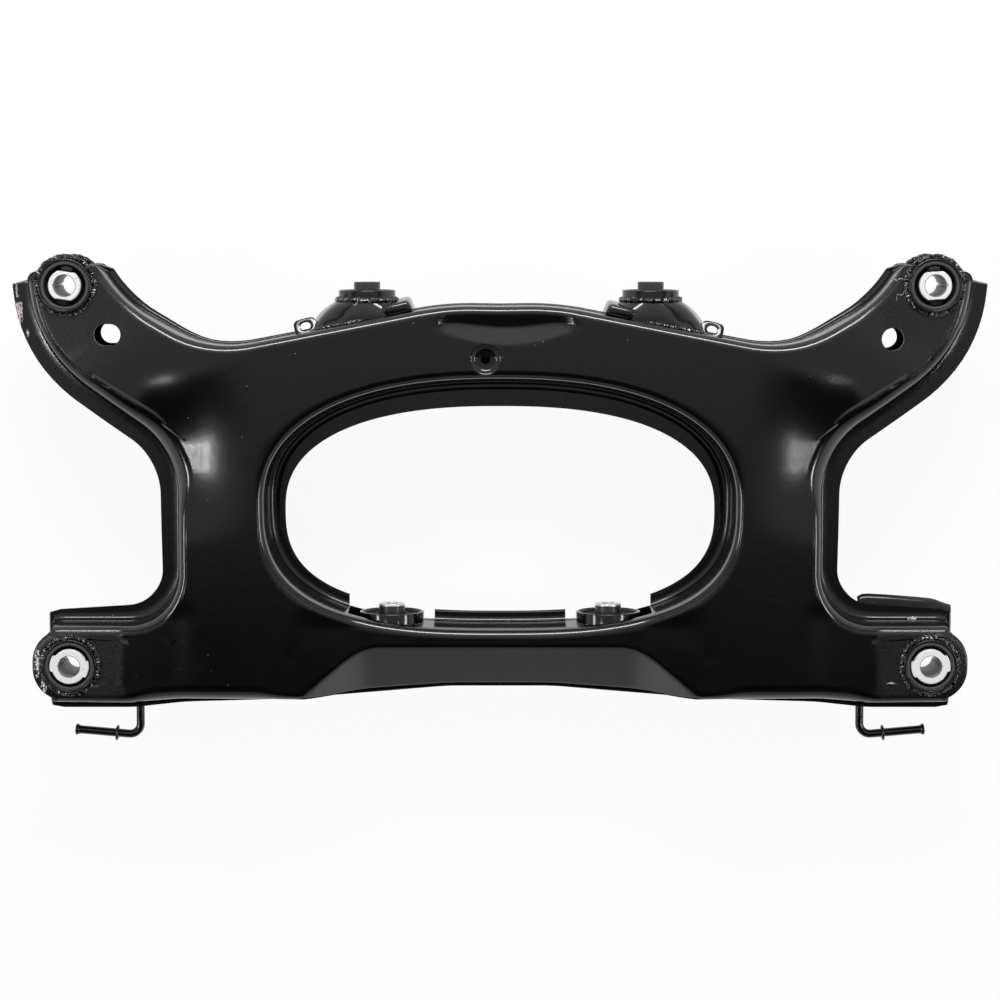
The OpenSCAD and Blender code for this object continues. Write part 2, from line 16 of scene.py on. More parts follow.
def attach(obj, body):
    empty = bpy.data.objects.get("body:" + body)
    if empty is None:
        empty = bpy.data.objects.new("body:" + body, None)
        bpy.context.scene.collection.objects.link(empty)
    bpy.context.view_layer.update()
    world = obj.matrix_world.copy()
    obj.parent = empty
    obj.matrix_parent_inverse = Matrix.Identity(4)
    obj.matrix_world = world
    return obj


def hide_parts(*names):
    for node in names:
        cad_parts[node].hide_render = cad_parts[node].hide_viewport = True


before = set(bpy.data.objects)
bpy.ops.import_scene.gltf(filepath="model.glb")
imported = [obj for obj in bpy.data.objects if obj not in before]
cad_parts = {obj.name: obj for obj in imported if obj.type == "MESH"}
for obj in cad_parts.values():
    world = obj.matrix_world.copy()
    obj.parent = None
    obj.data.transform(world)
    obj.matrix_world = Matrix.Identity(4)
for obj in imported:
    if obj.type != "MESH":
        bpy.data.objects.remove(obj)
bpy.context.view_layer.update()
MM = 0.001
print("frame nodes:", len(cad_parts))

# %% [markdown]
# ## Shader arithmetic
# A finish is a small web of nodes. Written as plain Python sums it reads like the idea behind it,
# so one class holds a socket and turns each sum into a Math node.

# %% Sockets as numbers
class Wire:
    """A socket of a material's nodes that takes part in sums."""

    def __init__(self, tree, socket):
        self.tree = tree
        self.socket = socket

    def node(self, kind, settings, sockets, out=0):
        made = self.tree.nodes.new("ShaderNode" + kind)
        for name, value in settings.items():
            setattr(made, name, value)
        for name, value in sockets.items():
            if isinstance(value, Wire):
                self.tree.links.new(value.socket, made.inputs[name])
            else:
                made.inputs[name].default_value = value
        return Wire(self.tree, made.outputs[out])

    def maths(self, operation, *values):
        return self.node("Math", {"operation": operation}, dict(enumerate(values)))

    def __add__(self, other):
        return self.maths("ADD", self, other)

    __radd__ = __add__

    def __mul__(self, other):
        return self.maths("MULTIPLY", self, other)

    __rmul__ = __mul__

    def __sub__(self, other):
        return self.maths("SUBTRACT", self, other)

    def __rsub__(self, other):
        return self.maths("SUBTRACT", other, self)

    def clipped(self):
        return self.node("Math", {"operation": "ADD", "use_clamp": True}, {0: self, 1: 0.0})

    def above(self, low, high):
        """Rises from 0 at low to 1 at high."""
        sockets = {"Value": self, "From Min": low, "From Max": high}
        return self.node("MapRange", {"interpolation_type": "SMOOTHSTEP"}, sockets)

    def speckle(self, scale, detail=2.0, rough=0.5):
        sockets = {"Vector": self, "Scale": scale, "Detail": detail, "Roughness": rough}
        return self.node("TexNoise", {}, sockets)

    def cells(self, scale):
        return self.node("TexVoronoi", {}, {"Vector": self, "Scale": scale})

    def tint(self, first, second):
        """Two colours, mixed by this value."""
        return self.node("Mix", {"data_type": "RGBA"}, {0: self, 6: first, 7: second}, out=2)

    def part(self, axis):
        """X, Y or Z of a vector, as axis 0, 1 or 2."""
        return self.node("SeparateXYZ", {}, {0: self}, out=axis)

    def size(self):
        return self.maths("ABSOLUTE", self)

    def off(self, spot, reach):
        """How far a place is from a spot, with each axis measured in its own reach."""
        away = self.node("VectorMath", {"operation": "SUBTRACT"}, {0: self, 1: spot})
        shares = self.node("VectorMath", {"operation": "DIVIDE"}, {0: away, 1: reach})
        return self.node("VectorMath", {"operation": "LENGTH"}, {0: shares}, out=1)


def grey(value):
    return (value, value, value * 1.03, 1.0)


class Finish:
    """A material with its surface shader, its object coordinates and a bump to raise."""

    def __init__(self, name):
        self.material = bpy.data.materials.new(name)
        self.material.use_nodes = True
        self.tree = self.material.node_tree
        self.shader = self.tree.nodes["Principled BSDF"]
        place = self.tree.nodes.new("ShaderNodeTexCoord")
        self.place = Wire(self.tree, place.outputs["Object"])

    def set(self, **sockets):
        for name, value in sockets.items():
            socket = self.shader.inputs[name.replace("_", " ")]
            if isinstance(value, Wire):
                self.tree.links.new(value.socket, socket)
            else:
                socket.default_value = value

    def raise_by(self, height, distance, strength=1.0):
        bump = self.place.node("Bump", {}, {"Height": height, "Distance": distance, "Strength": strength})
        self.set(Normal=bump)


# %% [markdown]
# ## Gloss black paint
# The sheets are dipped and baked: the coat is black and glossy, slightly uneven like orange peel,
# with dust caught in it, and dull on the pads round the bushes. Handling has scraped a few edges
# down to pale metal. The black is a plain glossy shader whose roughness changes over the part.
# Noise gives the peel, a few far-apart cells the dust, and each scrape is a place on the part
# where ragged, drawn-out noise is let through.

# %% Scrapes and pads
MOUNT_X = 485.0
MOUNT_Y = 214.0
HORN_WAY_X = 0.62
HORN_WAY_Y = 0.78
PAD_LEVEL = 0.0495
# The middle of a scrape, its reach along each axis, and how ragged it is
SCRAPES = [
    ((-0.5464, 0.211, 0.003), (0.0018, 0.020, 0.02), 1.2),
    ((-0.5440, 0.184, 0.003), (0.0055, 0.020, 0.02), 2.2),
    ((-0.5345, 0.159, 0.003), (0.0026, 0.006, 0.02), 1.6),
    ((-0.5215, -0.212, 0.049), (0.0045, 0.019, 0.02), 3.0),
    ((-0.5150, -0.236, 0.049), (0.0042, 0.010, 0.02), 3.4),
    ((0.4710, -0.167, 0.004), (0.0075, 0.0035, 0.006), 1.6),
    ((-0.3910, -0.259, 0.012), (0.0035, 0.003, 0.016), 2.0),
    ((-0.3650, -0.255, 0.012), (0.0045, 0.003, 0.016), 2.0),
    ((0.3620, -0.256, 0.012), (0.0025, 0.003, 0.016), 2.0),
    ((0.3980, -0.258, 0.012), (0.0045, 0.003, 0.016), 2.0),
]
HAIRLINES = [((0.446, 0.212, 0.045), (0.013, 0.018, 0.03))]
print("scrapes:", len(SCRAPES))


def bared(place):
    """1 where the paint is scraped off."""
    drawn_out = place.node("Mapping", {}, {"Vector": place, "Scale": (1.0, 0.4, 1.0)})
    grain = drawn_out.speckle(560.0, 6.0, 0.7)
    threads = (place.speckle(70.0, 1.0) - 0.5).size()
    bare = 0.0
    for spot, reach, ragged in SCRAPES:
        near = 1.0 - place.off(spot, reach)
        flake = (near * 0.5 + (grain - 0.5) * ragged).above(0.22, 0.3)
        bare = bare + flake * near.above(0.0, 0.15)
    for spot, reach in HAIRLINES:
        near = 1.0 - place.off(spot, reach)
        thread = 1.0 - threads.above(0.004, 0.01)
        bare = bare + thread * near.above(0.0, 0.4) * grain.above(0.42, 0.5)
    return bare.clipped()


def on_pads(place):
    """1 on the level pads round the corner bushes."""
    x = place.part(0).size()
    y = place.part(1)
    arm = x.above(0.42, 0.436) * (0.0 - y).above(0.05, 0.1)
    run = (MOUNT_X * MM - x) * HORN_WAY_X + (MOUNT_Y * MM - y) * HORN_WAY_Y
    horn = (1.0 - run.above(0.06, 0.12)) * y.above(0.05, 0.1)
    return (arm + horn) * place.part(2).above(0.044, PAD_LEVEL)


# %% Paint
def paint(name, rough=0.12, peel=1.0, handled=True, spatter_and_glints=0.0):
    made = Finish(name)
    place = made.place
    broad = place.speckle(9.0)
    fine = place.speckle(420.0, 3.0)
    nibs = place.cells(75.0)
    dust = (1.0 - nibs.above(0.03, 0.06)) * place.speckle(33.0).above(0.57, 0.6)
    colour = (dust * 0.6).tint(broad.tint(grey(0.0012), grey(0.0022)), grey(0.2))
    # Pale flecks in the colour are partly weld spatter and partly painted glints on the bead.
    if spatter_and_glints:
        flecks_and_glints = place.speckle(800.0).above(0.58, 0.66) * place.speckle(110.0).above(0.44, 0.56)
        colour = (flecks_and_glints * spatter_and_glints).tint(colour, grey(0.6))
    gloss = rough + broad * 0.05 + dust * 0.3
    metal = 0.0
    if handled:
        bare = bared(place)
        dull = on_pads(place)
        pale = place.speckle(140.0, 3.0).tint((0.9, 0.88, 0.87, 1.0), (0.66, 0.52, 0.48, 1.0))
        colour = bare.tint((dull * fine).tint(colour, grey(0.012)), pale)
        gloss = gloss + bare * 0.3 + dull * (fine * 0.32 - 0.06)
        metal = bare * 0.2
    made.set(Base_Color=colour, Roughness=gloss, Metallic=metal, Specular_IOR_Level=0.55)
    height = fine * 0.3 + place.speckle(150.0) + dust * 6.0
    made.raise_by(height, 0.0001 * peel, 0.4)
    return made.material


black_paint = paint("gloss_black_paint")
plain_paint = paint("plain_black_paint", handled=False)
weld_paint = paint("weld_black_paint", rough=0.08, peel=9.0, handled=False, spatter_and_glints=0.8)
print("paints:", black_paint.name, plain_paint.name, weld_paint.name)

# %% [markdown]
# ## Bush finishes
# A bush is a steel ring, black rubber bonded into it, and a core that the bolt clamps. The corner
# cores are light cast alloy with a dry, pitted face; the differential sleeves are zinc-grey steel.

# %% Rubber, rings and cores
def rubber(name):
    made = Finish(name)
    grain = made.place.speckle(900.0, 4.0)
    bloom = made.place.speckle(60.0)
    made.set(Base_Color=bloom.tint(grey(0.006), grey(0.016)), Roughness=0.55 + bloom * 0.2)
    made.raise_by(grain, 0.00012, 0.5)
    return made.material


def cast_alloy(name):
    made = Finish(name)
    grain = made.place.speckle(700.0, 5.0, 0.65)
    pits = 1.0 - made.place.cells(210.0).above(0.1, 0.22)
    pits = pits * made.place.speckle(90.0).above(0.56, 0.62)
    tone = grain.tint((0.66, 0.67, 0.68, 1.0), (0.86, 0.865, 0.87, 1.0))
    # The bore's wall is coloured a darker grey: painted shade inside the bore.
    from_x = made.place.part(0).size() - MOUNT_X * MM
    from_y = made.place.part(1).size() - MOUNT_Y * MM
    square_mm = (from_x * from_x + from_y * from_y) * 1000000.0
    bore_shade = 1.0 - square_mm.above(158.0, 166.0)
    tone = pits.tint(bore_shade.tint(tone, (0.20, 0.20, 0.205, 1.0)), grey(0.08))
    made.set(Base_Color=tone, Roughness=0.4 + grain * 0.2, Metallic=0.12 - pits * 0.1)
    made.raise_by(grain - pits * 3.0, 0.00015, 0.5)
    return made.material


def zinc_steel(name, dark, light, rough, bare_from):
    """Steel that is coated dark up to a place along Y and bare beyond it."""
    made = Finish(name)
    grain = made.place.speckle(500.0, 4.0)
    end = made.place.part(1).above(bare_from, bare_from + 0.0006)
    tone = end.tint(grain.tint(grey(0.006), grey(0.02)), grain.tint(grey(dark), grey(light)))
    made.set(Base_Color=tone, Roughness=rough + grain * 0.15, Metallic=end * 0.8)
    made.raise_by(grain, 0.0001, 0.4)
    return made.material


def ring_coat(name, dark, light):
    made = Finish(name)
    grain = made.place.speckle(350.0, 3.0)
    made.set(Base_Color=grain.tint(grey(dark), grey(light)), Roughness=0.42 + grain * 0.15)
    made.raise_by(grain, 0.0001, 0.4)
    return made.material


bush_rubber = rubber("bush_rubber")
core_alloy = cast_alloy("core_alloy")
sleeve_steel = zinc_steel("sleeve_steel", 0.5, 0.8, 0.3, -0.1505)
dark_sleeve = zinc_steel("dark_sleeve", 0.02, 0.07, 0.3, 0.2155)
bush_ring = ring_coat("bush_ring", 0.034, 0.056)
dark_ring = ring_coat("dark_ring", 0.008, 0.02)
print("bush finishes:", bush_rubber.name, core_alloy.name, sleeve_steel.name, bush_ring.name)

# %% [markdown]
# ## Rings of points
# Most pieces here are tubes or sheets that run round something. One helper makes a circle, puts
# each of its points where a rule says, then extrudes the loop row by row and places each row the
# same way. A second helper spins a profile, as a lathe would.

# %% Lofting and turning
FULL_TURN = 2.0 * math.pi


def polar(radius, angle, z):
    return (radius * math.cos(angle), radius * math.sin(angle), z)


def loft(count, rows, place):
    """Rings of count points; place(row, i) says where a point goes, in millimetres."""
    form = bmesh.new()
    bmesh.ops.create_circle(form, segments=count, radius=1.0)
    loop = list(form.verts)
    edges = list(form.edges)
    for i, vert in enumerate(loop):
        vert.co = Vector(place(0, i)) * MM
    for row in range(1, rows):
        made = bmesh.ops.extrude_edge_only(form, edges=edges)["geom"]
        fresh = {v for v in made if isinstance(v, bmesh.types.BMVert)}
        edges = [e for e in made if isinstance(e, bmesh.types.BMEdge) and fresh.issuperset(e.verts)]
        loop = [next(w for w in neighbours(v) if w in fresh) for v in loop]
        for i, vert in enumerate(loop):
            vert.co = Vector(place(row, i)) * MM
    return form


def neighbours(vert):
    return [edge.other_vert(vert) for edge in vert.link_edges]


def turn(profile, steps=72):
    """A closed profile of (radius, height) pairs in millimetres, spun round Z."""
    form = bmesh.new()
    verts = [form.verts.new((r * MM, 0.0, z * MM)) for r, z in profile]
    edges = [form.edges.new(pair) for pair in zip(verts, verts[1:] + verts[:1])]
    bmesh.ops.spin(
        form,
        geom=verts + edges,
        axis=(0, 0, 1),
        cent=(0, 0, 0),
        angle=FULL_TURN,
        steps=steps,
        use_merge=True,
    )
    return form


def ease_edges(form, width, segments=3, sharper_than=40.0):
    """Rounds every edge that turns more sharply than an angle in degrees."""
    limit = math.radians(sharper_than)
    hard = [e for e in form.edges if e.is_manifold and e.calc_face_angle() > limit]
    bmesh.ops.bevel(
        form,
        geom=hard,
        offset=width * MM,
        segments=segments,
        profile=0.5,
        affect="EDGES",
        material=-1,
        clamp_overlap=True,
    )
    return form


def tidy(form):
    bmesh.ops.remove_doubles(form, verts=form.verts, dist=1e-6)
    bmesh.ops.recalc_face_normals(form, faces=form.faces)
    return form


def put(form, matrix):
    bmesh.ops.transform(form, matrix=matrix, verts=form.verts)
    return form


def shade(mesh, sharper_than=38.0):
    """Smooth faces, with a crisp line wherever the surface turns more sharply than an angle in degrees."""
    form = bmesh.new()
    form.from_mesh(mesh)
    for face in form.faces:
        face.smooth = True
    for edge in form.edges:
        edge.smooth = edge.is_manifold and edge.calc_face_angle() < math.radians(sharper_than)
    form.to_mesh(mesh)
    form.free()


def as_object(name, form, finish):
    mesh = bpy.data.meshes.new(name)
    form.to_mesh(mesh)
    form.free()
    mesh.materials.append(finish)
    made = bpy.data.objects.new(name, mesh)
    bpy.context.scene.collection.objects.link(made)
    return made


def fit(piece, slot, *nodes):
    """Ties a finished piece to the frame, and names the solids that it stands for."""
    shade(piece.data)
    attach(piece, "root")
    if nodes:
        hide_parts(*nodes)
    print(piece.name, len(piece.data.polygons), "faces")


# %% Sheets and cuts
def face_up(piece, upside):
    """Turns a sheet's faces so that its outside looks up, or down where upside is -1."""
    up = sum(f.normal.z * f.area for f in piece.data.polygons)
    if up * upside < 0:
        piece.data.flip_normals()


def thicken(piece, thickness):
    """Gives a sheet its thickness on the inside."""
    thick = piece.modifiers.new("thickness", "SOLIDIFY")
    thick.thickness = thickness * MM
    thick.offset = -1.0


def take_away(piece, form):
    """Takes a form away from a piece, and hands back the cutter that does it."""
    cutter = as_object("cutter", form, plain_paint)
    cut = piece.modifiers.new("holes", "BOOLEAN")
    cut.operation = "DIFFERENCE"
    cut.solver = "MANIFOLD"
    cut.object = cutter
    return cutter


def baked(piece, *cutters):
    """The piece with its modifiers worked into its mesh, and its cutters gone."""
    graph = bpy.context.evaluated_depsgraph_get()
    mesh = bpy.data.meshes.new_from_object(piece.evaluated_get(graph))
    piece.modifiers.clear()
    piece.data = mesh
    for cutter in cutters:
        bpy.data.objects.remove(cutter)
    return piece


# %% [markdown]
# ## The outline of the pressings
# Seen from above, each pressing is a band between an outer edge and an oval opening. The outer
# edge is a walk through a few corners, each with its own rounding, and only the right half is
# written down. Along with its place, a corner says how much wall stands there, how wide the weld
# flange is and which point of the oval it looks to.

# %% Corners of the outline
SHEET = 2.5
FACE_H = 64.0
FLOOR_D = 46.0
PAD_H = 50.0
PAD_D = 18.0
DRAFT = math.radians(5.0)
FACE_R = 9.0
BEND_R = 4.5
WAIST = 359.0
FRONT_Y = 185.0
REAR_Y = 234.0
LOBE_R = 41.5
LOBE_END = LOBE_R * 0.85
WALL = 1.0
BARE = 0.1
LOBE_T = LOBE_R * math.tan(math.radians(32.5))
# Place, rounding, share of wall, rib point, bearing on the oval, width of flange
CORNERS = [
    (0, FRONT_Y + 5, 0, WALL, 0, 150, 90, 1.5),
    (62, FRONT_Y + 6, 320, WALL, 55, 152, 77, 1.5),
    (MOUNT_X - 157, MOUNT_Y - 75, 140, WALL, 285, 118, 46, 2.5),
    (MOUNT_X - 61, MOUNT_Y - 20, 150, WALL, 385, 105, 27, 5.5),
    (MOUNT_X - 41, MOUNT_Y + 12, 0, WALL, 424, 124, 25, 5.5),
    (MOUNT_X - 33, MOUNT_Y + 24, 10, BARE, 430, 122, 23, 5.5),
    (MOUNT_X + 41, MOUNT_Y + 12, 8, BARE, 441, 110, 17, 22),
    (MOUNT_X + 40.4, MOUNT_Y + 4.5, 0, BARE, 440.5, 108, 16, 22),
    (MOUNT_X + 40.2, MOUNT_Y + 3, 0, WALL, 440, 106, 15.5, 22),
    (MOUNT_X + 31, MOUNT_Y - 73, 144, WALL, 400, 80, 12, 23),
    (WAIST, MOUNT_Y - 183, 105, WALL, 315, 8, 2, 23),
    (WAIST, LOBE_R + 1.5 - MOUNT_Y, 62, WALL, 335, -182, -42, 19),
    (MOUNT_X + 19.0, LOBE_R + 1.5 - MOUNT_Y, 0, WALL, 385, -202, -53, 11),
    (MOUNT_X + 21.0, 36.0 - MOUNT_Y, 0, BARE, 388, -206, -54.5, 11),
    (MOUNT_X + LOBE_R, LOBE_T - MOUNT_Y, LOBE_END, BARE, 390, -211, -57, 11),
    (MOUNT_X + LOBE_R, -LOBE_T - MOUNT_Y, LOBE_END, BARE, 390, -214, -60, 11),
    (MOUNT_X + 21.0, -36.0 - MOUNT_Y, 0, BARE, 388, -217, -62.5, 11),
    (MOUNT_X + 19.0, -LOBE_R - MOUNT_Y, 0, WALL, 385, -219, -64, 9),
    (MOUNT_X - 65, -1 - LOBE_R - MOUNT_Y, 150, WALL, 370, -219, -67, 8),
    (MOUNT_X - 125, -REAR_Y - 16, 200, WALL, 320, -215, -70.5, 7),
    (205, -REAR_Y - 17, 300, WALL, 190, -205, -76, 1.5),
    (60, -REAR_Y - 5, 300, WALL, 55, -200, -84, 1.5),
    (0, -REAR_Y - 5, 0, WALL, 0, -200, -90, 1.5),
]
print("corners:", len(CORNERS))


# %% Walk round the outline
def left_of(v):
    return Vector((-v.y, v.x))


def swung(v, angle):
    c = math.cos(angle)
    s = math.sin(angle)
    return Vector((v.x * c - v.y * s, v.x * s + v.y * c))


def walk_outline(step):
    """The places of the right half, and the length walked to the middle of each corner.

    With each place go its outward direction, the length walked and whether it must stay.
    """
    points = [Vector(c[:2]) for c in CORNERS]
    heads = [(b - a).normalized() for a, b in zip(points, points[1:])]
    places = []
    keys = []
    walked = 0.0
    last_end = points[0]
    for i, corner in enumerate(CORNERS):
        came = heads[max(0, i - 1)]
        goes = heads[min(len(heads) - 1, i)]
        bend = math.atan2(came.x * goes.y - came.y * goes.x, came.dot(goes))
        radius = corner[2]
        reach = radius * math.tan(abs(bend) / 2)
        start = points[i] - came * reach
        run = (start - last_end).length
        for j in range(1, int(run / step)):
            share = j / int(run / step)
            places.append((last_end.lerp(start, share), left_of(came), walked + run * share, False))
        walked += run
        arc = radius * abs(bend)
        side = 1.0 if bend > 0 else -1.0
        parts = max(1, math.ceil(arc / step), math.ceil(abs(bend) / 0.12)) if radius else 0
        middle = start + left_of(came) * radius * side
        for j in range(parts + 1):
            share = j / parts if parts else 0.5
            out = swung(left_of(came), bend * share)
            spot = middle - out * radius * side if radius else points[i]
            places.append((spot, out, walked + arc * share, radius < 50))
        keys.append(walked + arc / 2)
        walked += arc
        last_end = points[i] + goes * reach
    return places, keys


def between(keys, values, s):
    for a, b, u, v in zip(keys, keys[1:], values, values[1:]):
        if s <= b:
            return u + (v - u) * max(0.0, min(1.0, (s - a) / (b - a)))
    return values[-1]


class Station:
    """One place on the outline with what stands there."""

    def __init__(self, spot, out, fields, side):
        self.side = side
        self.spot = Vector((spot.x * side, spot.y))
        self.out = Vector((out.x * side, out.y))
        self.wall, rib_x, rib_y, self.bearing, self.flange = fields
        self.rib = Vector((rib_x * side, rib_y))


def spacing(spot):
    """How far apart stations may stand: close where a small form is drawn."""
    x = abs(spot.x)
    if spot.y > 100 and x < 125 or abs(spot.y - 30) < 80 and x > 300:
        return 4.0
    if spot.y < -100 and (x > 330 or 90 < x < 230):
        return 5.0
    return 9.0


def stations():
    places, keys = walk_outline(2.9)
    kept = [places[0]]
    for place in places[1:]:
        gap = (place[0] - kept[-1][0]).length
        if gap > (0.6 if place[3] else spacing(place[0])):
            kept.append(place)
    columns = [[c[f] for c in CORNERS] for f in range(3, 8)]
    rows = [(p, n, [between(keys, column, s) for column in columns]) for p, n, s, _ in kept]
    right_side = [Station(p, n, f, 1) for p, n, f in rows]
    left_side = [Station(p, n, f, -1) for p, n, f in rows[-2:0:-1]]
    return right_side + left_side


ring = stations()
print("stations round the outline:", len(ring))

# %% [markdown]
# ## The height of the face
# The drawn face is not flat. It drops to level pads at the four bushes, rolls off towards the
# waist of the legs, is lower between the rear bushes and slopes down to the rear edge, and has a
# long recess in the front crossmember. Each form is one term of a height.

# %% Face heights
OPEN_A = 266.0
OPEN_FRONT = 142.0
OPEN_REAR = 143.0
OPEN_BACK = 31.0
CLEAR_A = 244.0
CLEAR_B = 117.0
CLEAR_BACK = 41.0
RAKE = math.tan(math.radians(40.0))
SLOPE_W = 42.0
SLOPE_HALF = 155.0
SLOPE_FLARE = 0.82
HORN_PAD = 72.0
HORN_SLOPE = 85.0
ARM_PAD = 58.0
ARM_SLOPE = 72.0
PAD_EASE = 3.0
TOP_EASE = 20.0
DIP_D = 8.0
DIP_HALF = 235.0
DIP_Y = 130.0
RECESS_X = 7.0
RECESS_HALF = 84.0
RECESS_Y = FRONT_Y - 18.0
RECESS_D = 6.0
RECESS_BOW = 19.0
ROLL = 0.12
ROLL_W = 62.0
ROLL_REAR = -75.0
ROLL_FRONT = 135.0
ROLL_END = 440.0


def clamp(t):
    return max(0.0, min(1.0, t))


def smooth(t):
    return clamp(t) ** 2 * (3.0 - 2.0 * clamp(t))


def ramp(t, ease):
    """Nothing below zero, then a straight rise, with the corner eased over a length."""
    if abs(t) >= ease:
        return max(0.0, t)
    return (t + ease) ** 2 / (4.0 * ease)


def pad_share(p):
    x = abs(p.x)
    slope = HORN_SLOPE if p.y > 0 else ARM_SLOPE
    if p.y > 0:
        run = (MOUNT_X - x) * HORN_WAY_X + (MOUNT_Y - p.y) * HORN_WAY_Y - HORN_PAD
    else:
        run = MOUNT_X - ARM_PAD - x + slope * smooth((p.y + 160.0) / 70.0)
    return 1.0 - (ramp(run, PAD_EASE) - ramp(run - slope, TOP_EASE)) / slope


def rake(p):
    """The fall of the slope behind the rear bushes, which narrows to a flare at each side."""
    start = REAR_Y - SLOPE_W
    flare = ramp(abs(p.x) - SLOPE_HALF, 20.0) * SLOPE_FLARE
    return ramp(-p.y - start - flare, 2.5) * RAKE


def rear_dip(p):
    return DIP_D * smooth((DIP_HALF - abs(p.x)) / 85.0) * smooth((-p.y - DIP_Y) / 40.0)


def recess(p):
    """The recess falls from a bowed edge to its floor, which rises a little towards the front."""
    across = clamp(abs(p.x - RECESS_X) / RECESS_HALF)
    low = RECESS_Y - RECESS_BOW * (1.0 - across ** 2)
    fall = 0.31 * ramp(p.y - low, 2.0)
    rise = 0.09 * ramp(p.y - RECESS_Y, 2.0)
    deep = min(fall, RECESS_D * (1.0 - across ** 4)) - rise
    return max(0.0, deep) * smooth((1.0 - across) * 5.0)


def roll(p):
    """The fall of a leg's face towards its outer edge, between the arm and the horn."""
    gap = WAIST - abs(p.x)
    along = smooth((p.y - ROLL_REAR) / 90.0) * smooth((ROLL_FRONT - p.y) / 100.0)
    along = along * smooth((ROLL_END - abs(p.x)) / 70.0)
    return ROLL * ramp(ROLL_W - gap, 36.0) * along


def upper_height(p):
    drawn = FACE_H - (FACE_H - PAD_H) * pad_share(p)
    return drawn - rake(p) - recess(p) - rear_dip(p) - roll(p)


def lower_height(p):
    return FLOOR_D - (FLOOR_D - PAD_D) * pad_share(p)


def power(v, n):
    return math.copysign(abs(v) ** (2.0 / n), v)


def oval(station, inset):
    a = math.radians(station.bearing)
    n = 2.35 if a >= 0 else 2.8
    wide = OPEN_FRONT if a >= 0 else OPEN_REAR
    x = (OPEN_A - inset) * power(math.cos(a), n)
    return Vector((x * station.side, (wide - inset) * power(math.sin(a), n) - OPEN_BACK))


def clear_oval(station):
    a = math.radians(station.bearing)
    n = 2.4 if a >= 0 else 2.7
    x = CLEAR_A * power(math.cos(a), n)
    return Vector((x * station.side, CLEAR_B * power(math.sin(a), n) - CLEAR_BACK))


print("height of a pad:", round(upper_height(Vector((MOUNT_X, MOUNT_Y))), 1))


# %% [markdown]
# ## The two pressings
# A pressing could be sculpted, but its section is the same everywhere: flange, bend, drafted
# wall, rounded shoulder, face, and the same again down to the lip of the opening. So the loop of
# the flange's edge is extruded through that section, and Solidify then gives it its thickness.

# %% Section of a drawn edge
LEAN = math.tan((math.pi / 2 - DRAFT) / 2)
FILLET_RUN = FACE_R * LEAN


def shoulder_radius(spot):
    """The rounding of the face's edge: large at the leg's horn and behind an arm, small behind the slope."""
    x = abs(spot.x)
    if spot.y < -200:
        slope = 6.5 * smooth((250.0 - x) / 50.0)
        arm = 8.0 * smooth((x - 240.0) / 40.0) * smooth((430.0 - x) / 40.0)
        return FACE_R - slope + arm
    leg = smooth((x - 300.0) / 40.0)
    return FACE_R + 11.0 * leg * smooth((spot.y + 45.0) / 50.0) * smooth((160.0 - spot.y) / 125.0)


def steps_between(first, last, count):
    return [first + (last - first) * i / count for i in range(count + 1)]


def draft_at(spot):
    """The wall's lean, which is least along the front crossmember."""
    return DRAFT * (1.0 - 0.8 * smooth((spot.y - 110.0) / 30.0) * smooth((380.0 - abs(spot.x)) / 60.0))


def section(height, flange, bent=FACE_R, lean=DRAFT):
    """Distances out from the face's edge and heights, from the flange's edge up to the face."""
    foot = (height - SHEET) * math.tan(lean)
    bend = min(BEND_R, flange * 0.8)
    bend_run = bend * LEAN
    rows = [(foot + bend_run + (flange - bend_run) * t, SHEET) for t in (1.0, 0.85, 0.4)]
    for a in steps_between(math.pi / 2, DRAFT, 5):
        rows.append((foot + bend_run - bend * math.cos(a), SHEET + bend - bend * math.sin(a)))
    low = rows[-1]
    turns = steps_between(DRAFT, math.pi / 2, 8)
    shoulder = [(bent * (math.cos(a) - LEAN), height - bent + bent * math.sin(a)) for a in turns]
    for t in (0.25, 0.5, 0.75):
        rows.append((low[0] + (shoulder[0][0] - low[0]) * t, low[1] + (shoulder[0][1] - low[1]) * t))
    return rows + shoulder


def column(station, height, shares, lip_to):
    """All points of one station from the flange's edge to the lip of the opening."""
    bent = shoulder_radius(station.spot) if height is upper_height else FACE_R
    inner = station.spot - station.out * bent * LEAN
    top = height(inner)
    rows = []
    for out, z in section(top, station.flange, bent, draft_at(station.spot)):
        reach = out * station.wall if out > 0 else out
        spot = station.spot + station.out * reach
        follow = height(spot) - top if out <= 0 else 0.0
        rows.append((spot.x, spot.y, top - (top - z) * station.wall + follow))
    far = oval(station, -FILLET_RUN)
    for v in shares:
        spot = inner * (1 - v) ** 2 + station.rib * 2 * v * (1 - v) + far * v * v
        rows.append((spot.x, spot.y, height(spot)))
    lip = section(height(far), 10.0)
    tilt = 0.25 if height is upper_height else 0.0
    for out, z in reversed(lip):
        spot = oval(station, out)
        rows.append((spot.x, spot.y, z + tilt * max(0.0, out - lip[2][0])))
    if lip_to:
        spot = lip_to(station)
        rows[-1] = (spot.x, spot.y, rows[-1][2])
    return rows


def pressing(name, height, face_rows, lip_to, upside):
    shares = [i / face_rows for i in range(1, face_rows)]
    columns = [column(station, height, shares, lip_to) for station in ring]
    form = loft(len(ring), len(columns[0]), lambda row, i: columns[i][row])
    bmesh.ops.recalc_face_normals(form, faces=form.faces)
    if upside < 0:
        put(form, Matrix.Scale(-1.0, 4, (0, 0, 1)))
    made = as_object(name, form, black_paint)
    face_up(made, upside)
    return made


# %% Holes through the pressings
def drum(radius, low, high, count=64):
    """A plain closed cylinder along Z, made to be taken away from a sheet."""
    form = bmesh.new()
    bmesh.ops.create_cone(
        form,
        cap_ends=True,
        segments=count,
        radius1=radius * MM,
        radius2=radius * MM,
        depth=(high - low) * MM,
    )
    return put(form, Matrix.Translation((0, 0, (low + high) / 2 * MM)))


HANDS = (("left", -1), ("right", 1))


